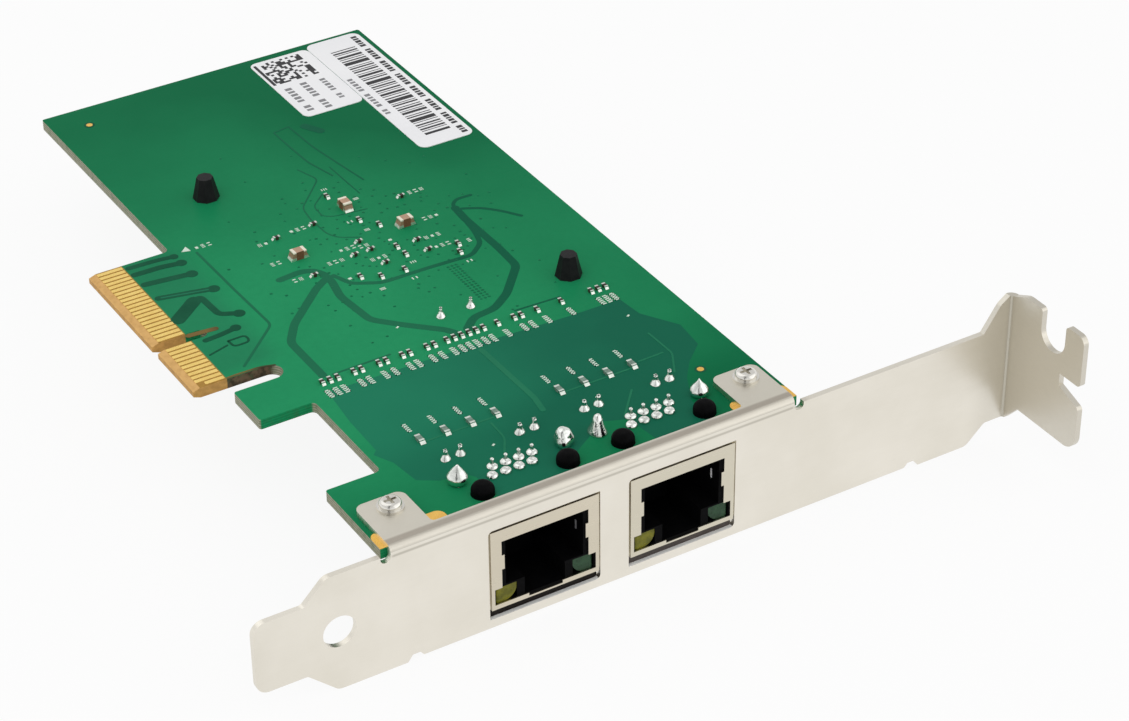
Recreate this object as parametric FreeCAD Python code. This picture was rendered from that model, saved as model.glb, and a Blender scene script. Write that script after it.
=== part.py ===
import FreeCAD, Part
import math
import os

os.makedirs("parts", exist_ok=True)
V = FreeCAD.Vector

# ---------------------------------------------------------------- driving dimensions, mm
# Row frame: X runs from the gold contacts' leading edge across the board towards the bracket's
# screw tab, Y runs from the bracket into the board, Z is the normal of the solder side.
# The origin is the key notch's centre line, at the leading edge, on the solder surface.
BOARD_T = 1.57
BOARD_FAR_Y = 67.95
BOARD_NEAR_Y = -57.10
BOARD_TOP_X = 68.90
BOARD_BASE_X = 12.75
TONGUE_Y0, TONGUE_Y1 = -12.15, 22.15
KEY_R = 0.95
KEY_DEPTH = 7.95
BEVEL_LENGTH, BEVEL_ANGLE = 1.05, 20.0
GUIDE_TAB_X = 4.45
GUIDE_TAB_Y0, GUIDE_TAB_Y1 = -23.40, -15.55
CORNER_BLOCK_Y = -42.20
CORNER_R = 0.8

CONTACT_PITCH, CONTACT_W = 1.0, 0.70
CONTACT_X1 = 5.0
CONTACT_T = 0.05
KEY_TO_CONTACT = 1.5
CONTACTS_NEAR, CONTACTS_FAR = 11, 21
SHORT_CONTACT_X0 = 2.1

PLATE_T = 0.86
FACE_Y = -58.40
PLATE_X0, PLATE_LENGTH = -14.68, 120.02
PLATE_Z1, PLATE_W = -0.32, 18.42
FOOT_X1 = -7.45
FOOT_Z0, FOOT_Z1 = -14.75, -3.65
FOOT_R = 1.8
FOOT_HOLE_X, FOOT_HOLE_Z, FOOT_HOLE_R = -2.55, -9.43, 2.40
EDGE_INSET = 0.35
FOOT_NOTCH_X, BEND_TO_NOTCH = 8.35, 15.78
EDGE_NOTCH_DEPTH, EDGE_NOTCH_HALF = 1.0, 0.55
NECK_Z0, NECK_Z1 = -15.85, 4.70
NECK_RISE_L, NECK_CREST_L, NECK_CREST_DROP = 4.20, 1.50, 1.10
NECK_LOWER_L, NECK_DROP_L = 2.90, 6.00
TAB_BEND_R = 0.40
TAB_REACH = 15.60
TAB_Z0, TAB_Z1 = -12.90, 6.00
TAB_NOTCH_REACH, TAB_NOTCH_R, TAB_NOTCH_BOTTOM = 9.20, 2.55, 0.45
TAB_SLOT_REACH, TAB_SLOT_Z0, TAB_SLOT_Z1, TAB_SLOT_FLARE = 11.25, -4.05, -2.05, 1.50
TAB_SHOULDER_REACH = 3.10
TAB_CORNER_R, TAB_FOOT_R, TAB_SHOULDER_R, TAB_SLOT_R = 1.30, 2.40, 2.40, 0.70

FLANGE_X0, FLANGE_X1 = 5.25, 67.70
FLANGE_BEND_R = 0.25
LIP_BACK_Y = -56.40
EAR_W, EAR_BACK_Y, EAR_R = 7.20, -48.40, 1.30
RELIEF_W, RELIEF_DEPTH = 1.50, 1.05
PAD_T = 0.04
PAD_SIDES, PAD_BACK_Y, PAD_R = (2.80, 0.80), -53.70, 1.2

SCREW_X, SCREW_Y = (9.40, 64.75), -50.90
SCREW_R, SCREW_HEAD_R, SCREW_HEAD_H = 1.0, 1.55, 1.15
COLLAR_R, COLLAR_T = 1.85, 0.30
SCREW_CROSS, SCREW_CROSS_W, SCREW_CROSS_DEPTH = 1.8, 0.45, 0.6
NUT_AF, NUT_H = 4.0, 1.6
SCREW_TAIL = 0.6
FREE_HOLE, PEG_GAP = 0.15, 0.05

JACK_X = (28.05, 49.65)
JACK_W, JACK_H = 16.60, 14.00
JACK_FRONT_Y, JACK_BACK_Y = -58.50, -43.40
JACK_GAP = 0.25
STEP_GAP = 0.10                       # jack's shoulder behind the plate, above the cutout
CUTOUT_Z1, CUTOUT_Z0 = -2.60, -17.05
SHIELD_T = 0.25
MOUTH_RIM, MOUTH_Z0, MOUTH_Z1 = 1.65, -12.30, -4.75
LAMP_RIM, LAMP_Z0, LAMP_Z1 = 0.525, -14.85, -12.35
SPRING_TAB_LIFT, SPRING_TAB_L, SPRING_TAB_REACH = 3.0, 2.3, 0.42
FLAP_INSET, FLAP_RUN, FLAP_DROP = 1.35, 1.6, 1.3
LATCH_W = 5.2
CAVITY_W, CAVITY_Z0, CAVITY_Z1, CAVITY_DEPTH = 11.90, -12.10, -4.95, 12.2
HOUSING_BACK_Y = -46.00
LAMP_W, LAMP_INSET = 3.25, 0.75
LAMP_BACK_Y, LAMP_RECESS, LAMP_LENS_R, LAMP_CORNER_R = -47.0, 0.10, 0.5, 1.9
PEG_INSET, PEG_Y, PEG_R, PEG_TOP = 1.80, -53.70, 1.60, 1.75
PIN_ROWS_Y = (-51.15, -49.35)
PIN_PITCH = 1.016
PIN_FIRST = -3.556
PIN_W = 0.45
PIN_TOP = 1.50
WIRE_RUN_Z, WIRE_FRONT_Y, WIRE_TIP_Y, WIRE_TIP_Z = -3.1, -56.7, -50.6, -6.6
LAMP_PIN_INSETS = (3.73, 1.44)
LAMP_PIN_Y = -44.5
WIRE_T, WIRE_GAP = 0.30, 0.08
HOLE_R = 0.46
JOINT_R, JOINT_TOP_R, JOINT_H = 0.78, 0.36, 0.62
SHIELD_TAB_Y, SHIELD_TAB_W, SHIELD_TAB_TOP = -49.90, 1.5, 1.3
SHIELD_SLOT_W, SHIELD_SLOT_L = 0.9, 2.1
SHIELD_JOINT_R, SHIELD_JOINT_TOP_R, SHIELD_JOINT_H = 1.15, 0.14, 2.50
SHIELD_JOINT_BELLY_R, SHIELD_JOINT_WAIST_R = 1.28, 0.80

SINK_X, SINK_Y = 41.50, 9.35
PUSH_PIN = (17.3, 23.75)
SINK_W, SINK_L = 33.0, 36.0
SINK_BASE_T, SINK_FIN_H, SINK_FIN_T, SINK_FINS = 2.0, 6.0, 1.0, 10
SINK_EAR_R, SINK_EAR_T = 4.2, 2.0
SINK_HOLE_R = 1.7
CHIP_W, CHIP_T, CHIP_LIFT, CHIP_CAP_W, CHIP_BASE_T = 17.0, 1.60, 0.40, 13.6, 0.6
BALL_PITCH, BALLS, BALL_R = 2.54, 6, 0.35
THERMAL_PAD_T = 0.30
PUSH_SHAFT_R, PUSH_BARB_R, PUSH_TIP_R, PUSH_BARB_H = 1.45, 2.05, 1.25, 3.50
PUSH_HEAD_R, PUSH_HEAD_T = 3.4, 1.4
SPRING_LENGTH, SPRING_R, SPRING_WIRE_R, SPRING_TURNS = 4.2, 2.45, 0.25, 3.5
SPRING_STEPS = 12                     # straight runs per turn

CRYSTAL_X, CRYSTAL_Y = 40.20, -14.20
CRYSTAL_L, CRYSTAL_W, CRYSTAL_H, CRYSTAL_PITCH, CRYSTAL_PIN_R = 11.05, 4.65, 3.5, 4.88, 0.22
CRYSTAL_RIM, CRYSTAL_RIM_H = 0.35, 0.5
CRYSTAL_JOINT_R, CRYSTAL_JOINT_TOP_R, CRYSTAL_JOINT_H, CRYSTAL_PIN_TOP = 0.75, 0.30, 1.15, 1.50

CORE_Y = -32.80
CORE_L, CORE_W, CORE_H, CORE_LEADS, LEAD_PITCH = 15.2, 10.4, 5.3, 12, 1.27

MEMORY_SPOTS, MEMORY_W, MEMORY_L = ((20.5, 43.0), (20.5, 52.5)), 3.9, 4.9
REGULATOR_SPOTS, REGULATOR_W, REGULATOR_L = ((62.5, 6.0), (62.5, -6.0)), 3.5, 6.5
REGULATOR_PITCH = 2.3
INDUCTOR_SPOTS, INDUCTOR_W, INDUCTOR_H = ((62.5, 20.5), (62.5, 31.0)), 7.0, 3.8

LABEL_T = 0.10
SMALL_LABEL = (48.0, 57.95, 46.4, 66.35)
LONG_LABEL = (58.55, 68.45, 28.2, 67.35)
LABEL_R = 1.2


# ---------------------------------------------------------------- shape helpers
def box(x0, x1, y0, y1, z0, z1):
    return Part.makeBox(x1 - x0, y1 - y0, z1 - z0, V(x0, y0, z0))


def rod(x, y, z0, z1, r):
    return Part.makeCylinder(r, z1 - z0, V(x, y, z0))


def taper(x, y, z0, z1, r0, r1):
    return Part.makeCone(r0, r1, z1 - z0, V(x, y, z0))


def sheet(points, thickness):
    return Part.Face(Part.makePolygon(points + [points[0]])).extrude(thickness)


def plan(points, z0, z1):
    return sheet([V(x, y, z0) for x, y in points], V(0, 0, z1 - z0))


def elevation(points, y0, y1):
    return sheet([V(x, y0, z) for x, z in points], V(0, y1 - y0, 0))


def section(points, x0, x1):
    return sheet([V(x0, y, z) for y, z in points], V(x1 - x0, 0, 0))


def edges_along(shape, axis, spots, tolerance=0.05):
    """Straight edges parallel to axis that pass through one of the spots."""
    picked = []
    for edge in shape.Edges:
        if edge.Curve.TypeId != "Part::GeomLine" or edge.Length < 1e-6:
            continue
        run = edge.Vertexes[-1].Point - edge.Vertexes[0].Point
        run.normalize()
        if abs(abs(run.dot(axis)) - 1) > 1e-6:
            continue
        for spot in spots:
            away = edge.Vertexes[0].Point - spot
            if (away - axis * away.dot(axis)).Length < tolerance:
                picked.append(edge)
                break
    return picked


def rounded(shape, axis, spots, radius):
    return shape.makeFillet(radius, edges_along(shape, axis, spots))


def ring_sector(axis_point, axis, r0, r1, length, quadrant):
    """Quarter of a tube, cut from a full one by a box over the wanted quadrant."""
    tube = Part.makeCylinder(r1, length, axis_point, axis).cut(
        Part.makeCylinder(r0, length, axis_point, axis))
    return tube.common(quadrant)


def one(shapes):
    """Fuse touching shapes to one solid."""
    whole = shapes[0].fuse(shapes[1:]) if len(shapes) > 1 else shapes[0]
    return whole.removeSplitter()


def save(node, solids):
    parts = []
    for shape in solids:
        parts.extend(shape.Solids)
    if len(parts) == 1:
        parts[0].exportStep("parts/" + node + ".step")
    else:
        Part.makeCompound(parts).exportStep("parts/" + node + ".step")


X, Y, Z = V(1, 0, 0), V(0, 1, 0), V(0, 0, 1)
UNDER = -BOARD_T                      # the component surface
FLANGE_Z0 = PAD_T
FLANGE_Z1 = PAD_T + PLATE_T
BACK_FACE_Y = FACE_Y + PLATE_T
PLATE_Z0 = PLATE_Z1 - PLATE_W


# ---------------------------------------------------------------- circuit board
def pin_spots(centre):
    """Eight signal pins in two staggered rows."""
    return [(centre + PIN_FIRST + PIN_PITCH * i, PIN_ROWS_Y[i % 2]) for i in range(8)]


def lamp_pin_spots(centre, sides=(-1, 1)):
    return [(centre + side * (JACK_W / 2 - inset), LAMP_PIN_Y)
            for side in sides for inset in LAMP_PIN_INSETS]


def shield_tab_spots(centre):
    return [(centre + side * (JACK_W - SHIELD_T) / 2, SHIELD_TAB_Y) for side in (-1, 1)]


def peg_spots(centre):
    return [(centre + side * (JACK_W / 2 - PEG_INSET), PEG_Y) for side in (-1, 1)]


def lamp_span(centre, side):
    """Lowest and highest x of the lamp on one side of a jack."""
    outer = centre + side * (JACK_W / 2 - LAMP_INSET)
    return sorted((outer, outer - side * LAMP_W))


push_pin_spots = [(SINK_X - PUSH_PIN[0], SINK_Y + PUSH_PIN[1]),
                  (SINK_X + PUSH_PIN[0], SINK_Y - PUSH_PIN[1])]
crystal_pin_spots = [(CRYSTAL_X + side * CRYSTAL_PITCH / 2, CRYSTAL_Y) for side in (-1, 1)]
slot_r = (TONGUE_Y0 - GUIDE_TAB_Y1) / 2

outline = [
    (0, TONGUE_Y0), (0, TONGUE_Y1), (BOARD_BASE_X, TONGUE_Y1), (BOARD_BASE_X, BOARD_FAR_Y),
    (BOARD_TOP_X, BOARD_FAR_Y), (BOARD_TOP_X, BOARD_NEAR_Y), (GUIDE_TAB_X, BOARD_NEAR_Y),
    (GUIDE_TAB_X, CORNER_BLOCK_Y), (BOARD_BASE_X, CORNER_BLOCK_Y),
    (BOARD_BASE_X, GUIDE_TAB_Y0), (GUIDE_TAB_X, GUIDE_TAB_Y0), (GUIDE_TAB_X, GUIDE_TAB_Y1),
    (BOARD_BASE_X - slot_r, GUIDE_TAB_Y1), (BOARD_BASE_X - slot_r, TONGUE_Y0)]
board = plan(outline, UNDER, 0)
board = board.cut(rod(BOARD_BASE_X - slot_r, (TONGUE_Y0 + GUIDE_TAB_Y1) / 2, UNDER, 0, slot_r))
board = rounded(board, Z, [V(BOARD_BASE_X, TONGUE_Y1, 0), V(BOARD_BASE_X, CORNER_BLOCK_Y, 0),
                           V(BOARD_BASE_X, GUIDE_TAB_Y0, 0)], CORNER_R)
board = rounded(board, Z, [V(BOARD_BASE_X, BOARD_FAR_Y, 0), V(BOARD_TOP_X, BOARD_FAR_Y, 0),
                           V(GUIDE_TAB_X, GUIDE_TAB_Y0, 0), V(GUIDE_TAB_X, GUIDE_TAB_Y1, 0),
                           V(GUIDE_TAB_X, CORNER_BLOCK_Y, 0)], 0.4)
key_slot = box(-1, KEY_DEPTH - KEY_R, -KEY_R, KEY_R, UNDER, 0).fuse(
    rod(KEY_DEPTH - KEY_R, 0, UNDER, 0, KEY_R))
board = board.cut(key_slot)
bevel_depth = BEVEL_LENGTH * math.tan(math.radians(BEVEL_ANGLE))
for surface, inward in ((0, -1), (UNDER, 1)):
    wedge = sheet([V(0, TONGUE_Y0 - 1, surface), V(0, TONGUE_Y0 - 1, surface + inward * bevel_depth),
                   V(BEVEL_LENGTH, TONGUE_Y0 - 1, surface)], V(0, TONGUE_Y1 - TONGUE_Y0 + 2, 0))
    board = board.cut(wedge)
holes = [rod(x, SCREW_Y, UNDER, 0, SCREW_R + FREE_HOLE) for x in SCREW_X]
holes += [rod(x, y, UNDER, 0, PUSH_SHAFT_R + FREE_HOLE) for x, y in push_pin_spots]
holes += [rod(x, y, UNDER, 0, HOLE_R) for x, y in crystal_pin_spots]
for centre in JACK_X:
    holes += [rod(x, y, UNDER, 0, HOLE_R) for x, y in pin_spots(centre) + lamp_pin_spots(centre)]
    holes += [rod(x, y, UNDER, 0, PEG_R + PEG_GAP) for x, y in peg_spots(centre)]
    holes += [box(x - SHIELD_SLOT_W / 2, x + SHIELD_SLOT_W / 2, y - SHIELD_SLOT_L / 2,
                  y + SHIELD_SLOT_L / 2, UNDER, 0) for x, y in shield_tab_spots(centre)]
board = board.cut(holes)
save("circuit_board", [board])

# gold contacts on both faces of the tongue; the presence-detect contact of each face is short
contact_spots = [KEY_TO_CONTACT + CONTACT_PITCH * i for i in range(CONTACTS_FAR)]
contact_spots += [-KEY_TO_CONTACT - CONTACT_PITCH * i for i in range(CONTACTS_NEAR)]
for node, z0, short in (("edge_contacts_solder_side", 0, min(contact_spots)),
                        ("edge_contacts_component_side", UNDER - CONTACT_T,
                         sorted(contact_spots)[-2])):
    save(node, [box(SHORT_CONTACT_X0 if y == short else BEVEL_LENGTH, CONTACT_X1,
                    y - CONTACT_W / 2, y + CONTACT_W / 2, z0, z0 + CONTACT_T)
                for y in contact_spots])

# gold ground pads under the bracket's two ears
pads = []
for x, (x0, x1) in zip(SCREW_X, ((GUIDE_TAB_X, FLANGE_X0 + EAR_W + PAD_SIDES[0]),
                                 (FLANGE_X1 - EAR_W - PAD_SIDES[1], BOARD_TOP_X))):
    pad = box(x0, x1, BOARD_NEAR_Y, PAD_BACK_Y, 0, PAD_T)
    pad = rounded(pad, Z, [V(x0, PAD_BACK_Y, 0), V(x1, PAD_BACK_Y, 0)], PAD_R)
    pads.append(pad.cut(rod(x, SCREW_Y, 0, PAD_T, SCREW_R + FREE_HOLE)))
save("ground_pads", pads)

# ---------------------------------------------------------------- bracket, one folded sheet
tab_x1 = PLATE_X0 + PLATE_LENGTH
tab_x0 = tab_x1 - PLATE_T
bend_x = tab_x0 - TAB_BEND_R
tab_end_y = FACE_Y - TAB_REACH
shoulder = PLATE_Z1 - FOOT_Z1
tab_notch_x = bend_x - BEND_TO_NOTCH
plate = elevation([
    (PLATE_X0, FOOT_Z0), (PLATE_X0, FOOT_Z1), (FOOT_X1, FOOT_Z1), (FOOT_X1 + shoulder, PLATE_Z1),
    (bend_x - NECK_RISE_L, PLATE_Z1), (bend_x - NECK_CREST_L, NECK_Z1 - NECK_CREST_DROP),
    (bend_x, NECK_Z1), (bend_x, NECK_Z0),
    (bend_x - NECK_LOWER_L, NECK_Z0), (bend_x - NECK_DROP_L, PLATE_Z0),
    (tab_notch_x + 1.3, PLATE_Z0),
    (tab_notch_x + EDGE_NOTCH_HALF, PLATE_Z0 + EDGE_NOTCH_DEPTH),
    (tab_notch_x - EDGE_NOTCH_HALF, PLATE_Z0 + EDGE_NOTCH_DEPTH),
    (tab_notch_x - 1.1, PLATE_Z0 + EDGE_INSET), (FOOT_NOTCH_X + 1.1, PLATE_Z0 + EDGE_INSET),
    (FOOT_NOTCH_X + EDGE_NOTCH_HALF, PLATE_Z0 + EDGE_NOTCH_DEPTH),
    (FOOT_NOTCH_X - EDGE_NOTCH_HALF, PLATE_Z0 + EDGE_NOTCH_DEPTH),
    (FOOT_NOTCH_X - 1.3, PLATE_Z0), (FOOT_X1 + 4.3, PLATE_Z0), (FOOT_X1, FOOT_Z0)],
    FACE_Y, BACK_FACE_Y)
plate = rounded(plate, Y, [V(PLATE_X0, 0, FOOT_Z0), V(PLATE_X0, 0, FOOT_Z1)], FOOT_R)
plate = rounded(plate, Y, [V(FOOT_X1 + shoulder, 0, PLATE_Z1), V(FOOT_X1 + 4.3, 0, PLATE_Z0),
                           V(bend_x - NECK_DROP_L, 0, PLATE_Z0)], 1.6)
plate = rounded(plate, Y, [V(FOOT_X1, 0, FOOT_Z0), V(FOOT_X1, 0, FOOT_Z1),
                           V(bend_x - NECK_LOWER_L, 0, NECK_Z0)], 0.8)
plate = rounded(plate, Y, [V(bend_x - NECK_CREST_L, 0, NECK_Z1 - NECK_CREST_DROP)], 2.0)

# bent tab with the screw notch open at its upper edge and the flared slot in its outer end
bend_axis = V(bend_x, FACE_Y - TAB_BEND_R, NECK_Z0)
bend = ring_sector(bend_axis, Z, TAB_BEND_R, TAB_BEND_R + PLATE_T, NECK_Z1 - NECK_Z0,
                   box(bend_x, tab_x1, FACE_Y - TAB_BEND_R, BACK_FACE_Y, NECK_Z0, NECK_Z1))


def reach(distance):
    return FACE_Y - distance


notch_y = reach(TAB_NOTCH_REACH)
tab = section([
    (reach(TAB_BEND_R), NECK_Z0), (reach(TAB_BEND_R), NECK_Z1), (reach(TAB_SHOULDER_REACH), TAB_Z1),
    (tab_end_y, TAB_Z1), (tab_end_y, TAB_SLOT_Z1), (reach(TAB_SLOT_REACH), TAB_SLOT_Z1),
    (reach(TAB_SLOT_REACH), TAB_SLOT_Z0), (tab_end_y, TAB_SLOT_Z0 - TAB_SLOT_FLARE),
    (tab_end_y, TAB_Z0), (reach(TAB_SHOULDER_REACH), TAB_Z0)], tab_x0, tab_x1)
tab = rounded(tab, X, [V(0, reach(TAB_SHOULDER_REACH), TAB_Z1)], TAB_SHOULDER_R)
tab = rounded(tab, X, [V(0, tab_end_y, TAB_Z0)], TAB_FOOT_R)
tab = rounded(tab, X, [V(0, tab_end_y, TAB_Z1)], TAB_CORNER_R)
tab = rounded(tab, X, [V(0, tab_end_y, TAB_SLOT_Z1),
                       V(0, tab_end_y, TAB_SLOT_Z0 - TAB_SLOT_FLARE)], TAB_SLOT_R)
notch_centre_z = TAB_NOTCH_BOTTOM + TAB_NOTCH_R
tab = tab.cut(Part.makeCylinder(TAB_NOTCH_R, PLATE_T, V(tab_x0, notch_y, notch_centre_z), X))
tab = tab.cut(box(tab_x0, tab_x1, notch_y - TAB_NOTCH_R, notch_y + TAB_NOTCH_R,
                  notch_centre_z, TAB_Z1 + 1))
tab = rounded(tab, X, [V(0, notch_y - TAB_NOTCH_R, TAB_Z1), V(0, notch_y + TAB_NOTCH_R, TAB_Z1)],
              0.6)

# flange folded over the board's solder side: a lip between two ears
flange_bend_y = FACE_Y + PLATE_T + FLANGE_BEND_R
flange_bend_z = FLANGE_Z0 - FLANGE_BEND_R
flange_bend = ring_sector(V(FLANGE_X0, flange_bend_y, flange_bend_z), X, FLANGE_BEND_R,
                          FLANGE_BEND_R + PLATE_T, FLANGE_X1 - FLANGE_X0,
                          box(FLANGE_X0, FLANGE_X1, FACE_Y, flange_bend_y, flange_bend_z, FLANGE_Z1))
flange_outline = [(FLANGE_X0, flange_bend_y), (FLANGE_X0, EAR_BACK_Y),
                  (FLANGE_X0 + EAR_W, EAR_BACK_Y), (FLANGE_X0 + EAR_W, LIP_BACK_Y),
                  (FLANGE_X1 - EAR_W, LIP_BACK_Y), (FLANGE_X1 - EAR_W, EAR_BACK_Y),
                  (FLANGE_X1, EAR_BACK_Y), (FLANGE_X1, flange_bend_y)]
flange = plan(flange_outline, FLANGE_Z0, FLANGE_Z1)
flange = rounded(flange, Z, [V(x, EAR_BACK_Y, 0) for x in (
    FLANGE_X0, FLANGE_X0 + EAR_W, FLANGE_X1 - EAR_W, FLANGE_X1)], EAR_R)
flange = rounded(flange, Z, [V(FLANGE_X0 + EAR_W, LIP_BACK_Y, 0),
                             V(FLANGE_X1 - EAR_W, LIP_BACK_Y, 0)], 0.6)
root = box(FLANGE_X0, FLANGE_X1, FACE_Y, BACK_FACE_Y, flange_bend_z - 0.5, flange_bend_z)
bracket = one([plate, bend, tab, root, flange_bend, flange])

cuts = [Part.makeCylinder(FOOT_HOLE_R, PLATE_T, V(FOOT_HOLE_X, FACE_Y, FOOT_HOLE_Z), Y)]
for x0 in (FLANGE_X0 - RELIEF_W, FLANGE_X1):
    cuts.append(box(x0, x0 + RELIEF_W, FACE_Y, BACK_FACE_Y, PLATE_Z1 - RELIEF_DEPTH + RELIEF_W / 2,
                    PLATE_Z1 + 1))
    cuts.append(Part.makeCylinder(RELIEF_W / 2, PLATE_T,
                                  V(x0 + RELIEF_W / 2, FACE_Y,
                                    PLATE_Z1 - RELIEF_DEPTH + RELIEF_W / 2), Y))
for centre in JACK_X:
    half = JACK_W / 2 + JACK_GAP
    window = box(centre - half, centre + half, FACE_Y, BACK_FACE_Y, CUTOUT_Z0, CUTOUT_Z1)
    cuts.append(rounded(window, Y, [V(centre - half, 0, CUTOUT_Z1), V(centre + half, 0, CUTOUT_Z0)],
                        0.7))
cuts += [rod(x, SCREW_Y, FLANGE_Z0, FLANGE_Z1, SCREW_R + FREE_HOLE) for x in SCREW_X]
bracket = bracket.cut(cuts)
save("bracket", [bracket])

# screws through ear, pad and board into nuts on the component side
screws, nuts = [], []
for x in SCREW_X:
    head = rod(x, SCREW_Y, FLANGE_Z1 + COLLAR_T, FLANGE_Z1 + SCREW_HEAD_H, SCREW_HEAD_R)
    crown = [e for e in head.Edges if e.Curve.TypeId == "Part::GeomCircle"
             and e.Curve.Center.z > FLANGE_Z1 + SCREW_HEAD_H * 0.9]
    head = head.makeFillet((SCREW_HEAD_H - COLLAR_T) * 0.75, crown)
    top = FLANGE_Z1 + SCREW_HEAD_H
    for dx, dy in ((SCREW_CROSS, SCREW_CROSS_W), (SCREW_CROSS_W, SCREW_CROSS)):
        head = head.cut(box(x - dx / 2, x + dx / 2, SCREW_Y - dy / 2, SCREW_Y + dy / 2,
                            top - SCREW_CROSS_DEPTH, top))
    screws.append(one([head, rod(x, SCREW_Y, FLANGE_Z1, FLANGE_Z1 + COLLAR_T, COLLAR_R),
                       rod(x, SCREW_Y, UNDER - NUT_H - SCREW_TAIL, FLANGE_Z1, SCREW_R)]))
    corner = NUT_AF / math.sqrt(3)
    hexagon = [(x + corner * math.cos(math.radians(60 * i)),
                SCREW_Y + corner * math.sin(math.radians(60 * i))) for i in range(6)]
    nuts.append(plan(hexagon, UNDER - NUT_H, UNDER).cut(
        rod(x, SCREW_Y, UNDER - NUT_H, UNDER, SCREW_R)))
save("bracket_screws", screws)
save("bracket_nuts", nuts)

# ---------------------------------------------------------------- the two network jacks
for name, centre in zip(("left", "right"), JACK_X):
    left, right = centre - JACK_W / 2, centre + JACK_W / 2
    floor_z = UNDER - JACK_H

    # folded metal shell, open towards the board, stepped back behind the plate above its cutout,
    # with a mouth, two lamp windows and a latch gap
    step_y, step_z = BACK_FACE_Y + STEP_GAP, CUTOUT_Z1 - JACK_GAP
    t = SHIELD_T
    shell = section([(JACK_FRONT_Y, floor_z), (JACK_FRONT_Y, step_z), (step_y, step_z),
                     (step_y, UNDER), (JACK_BACK_Y, UNDER), (JACK_BACK_Y, floor_z)], left, right)
    shell = shell.cut(section([(JACK_FRONT_Y + t, floor_z + t), (JACK_FRONT_Y + t, step_z - t),
                               (step_y + t, step_z - t), (step_y + t, UNDER),
                               (JACK_BACK_Y - t, UNDER), (JACK_BACK_Y - t, floor_z + t)],
                              left + t, right - t))
    front = (JACK_FRONT_Y, JACK_FRONT_Y + SHIELD_T)
    shell = shell.cut([
        box(left + MOUTH_RIM, right - MOUTH_RIM, *front, MOUTH_Z0, MOUTH_Z1),
        box(left + LAMP_RIM, right - LAMP_RIM, *front, LAMP_Z0, MOUTH_Z0),
        box(centre - LATCH_W / 2, centre + LATCH_W / 2, *front, LAMP_Z0 - 0.45, LAMP_Z0)])
    pieces = [shell]
    spring = MOUTH_Z0 + SPRING_TAB_LIFT
    for side in (-1, 1):
        x0, x1 = sorted((centre + side * (JACK_W / 2 - MOUTH_RIM),
                         centre + side * (JACK_W / 2 - MOUTH_RIM - SPRING_TAB_REACH)))
        pieces.append(box(x0, x1, *front, spring, spring + SPRING_TAB_L))
    for x, y in shield_tab_spots(centre):
        pieces.append(box(x - SHIELD_T / 2, x + SHIELD_T / 2, y - SHIELD_TAB_W / 2,
                          y + SHIELD_TAB_W / 2, UNDER, SHIELD_TAB_TOP))
    # sprung grounding flap, bent down and back from the lower front edge
    pieces.append(section([(JACK_FRONT_Y, floor_z + SHIELD_T), (JACK_FRONT_Y, floor_z),
                           (JACK_FRONT_Y + FLAP_RUN, floor_z - FLAP_DROP),
                           (JACK_FRONT_Y + FLAP_RUN + SHIELD_T, floor_z - FLAP_DROP),
                           (JACK_FRONT_Y + SHIELD_T, floor_z + SHIELD_T)],
                          left + FLAP_INSET, right - FLAP_INSET))
    save(name + "_jack_shield", [one(pieces)])

    # moulded housing: plug cavity, latch channel, lamp pockets, contact slots and locating pegs
    housing_front = JACK_FRONT_Y + SHIELD_T
    body = section([(housing_front, floor_z + t), (housing_front, step_z - t),
                    (step_y + t, step_z - t), (step_y + t, UNDER), (HOUSING_BACK_Y, UNDER),
                    (HOUSING_BACK_Y, floor_z + t)], left + t, right - t)
    cavity_back = housing_front + CAVITY_DEPTH - SHIELD_T
    hollow = [
        box(centre - CAVITY_W / 2, centre + CAVITY_W / 2, housing_front, cavity_back - 1.0,
            CAVITY_Z0, CAVITY_Z1),
        box(centre - LATCH_W / 2 - 0.5, centre + LATCH_W / 2 + 0.5, housing_front,
            cavity_back - 3.5, LAMP_Z0, CAVITY_Z0)]
    hollow += [box(*lamp_span(centre, side), housing_front, HOUSING_BACK_Y, LAMP_Z0, LAMP_Z1)
               for side in (-1, 1)]
    for x, y in pin_spots(centre):
        reach = PIN_W / 2 + WIRE_GAP
        hollow.append(box(x - reach, x + reach, WIRE_FRONT_Y - WIRE_GAP, y + PIN_W / 2,
                          CAVITY_Z1, UNDER))
    body = body.cut(hollow)
    pegs = []
    for x, y in peg_spots(centre):
        peg = rod(x, y, UNDER, PEG_TOP, PEG_R)
        rim = [e for e in peg.Edges if e.Curve.TypeId == "Part::GeomCircle"
               and e.Curve.Center.z > 0]
        pegs.append(peg.makeFillet(PEG_R * 0.72, rim))
    save(name + "_jack_housing", [one([body] + pegs)])

    # contact wires: tail up through the board, run under the shell, spring blade in the cavity
    wires = []
    for x, y in pin_spots(centre):
        h = PIN_W / 2
        run_z0 = WIRE_RUN_Z - WIRE_T
        path = [(y - h, PIN_TOP), (y + h, PIN_TOP), (y + h, run_z0),
                (WIRE_FRONT_Y + 2.5 * WIRE_T, run_z0), (WIRE_TIP_Y, WIRE_TIP_Z),
                (WIRE_TIP_Y - 0.7 * WIRE_T, WIRE_TIP_Z - 0.7 * WIRE_T), (WIRE_FRONT_Y, run_z0),
                (WIRE_FRONT_Y, WIRE_RUN_Z), (y - h, WIRE_RUN_Z)]
        wires.append(section(path, x - h, x + h))
    save(name + "_jack_contacts", wires)

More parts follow.
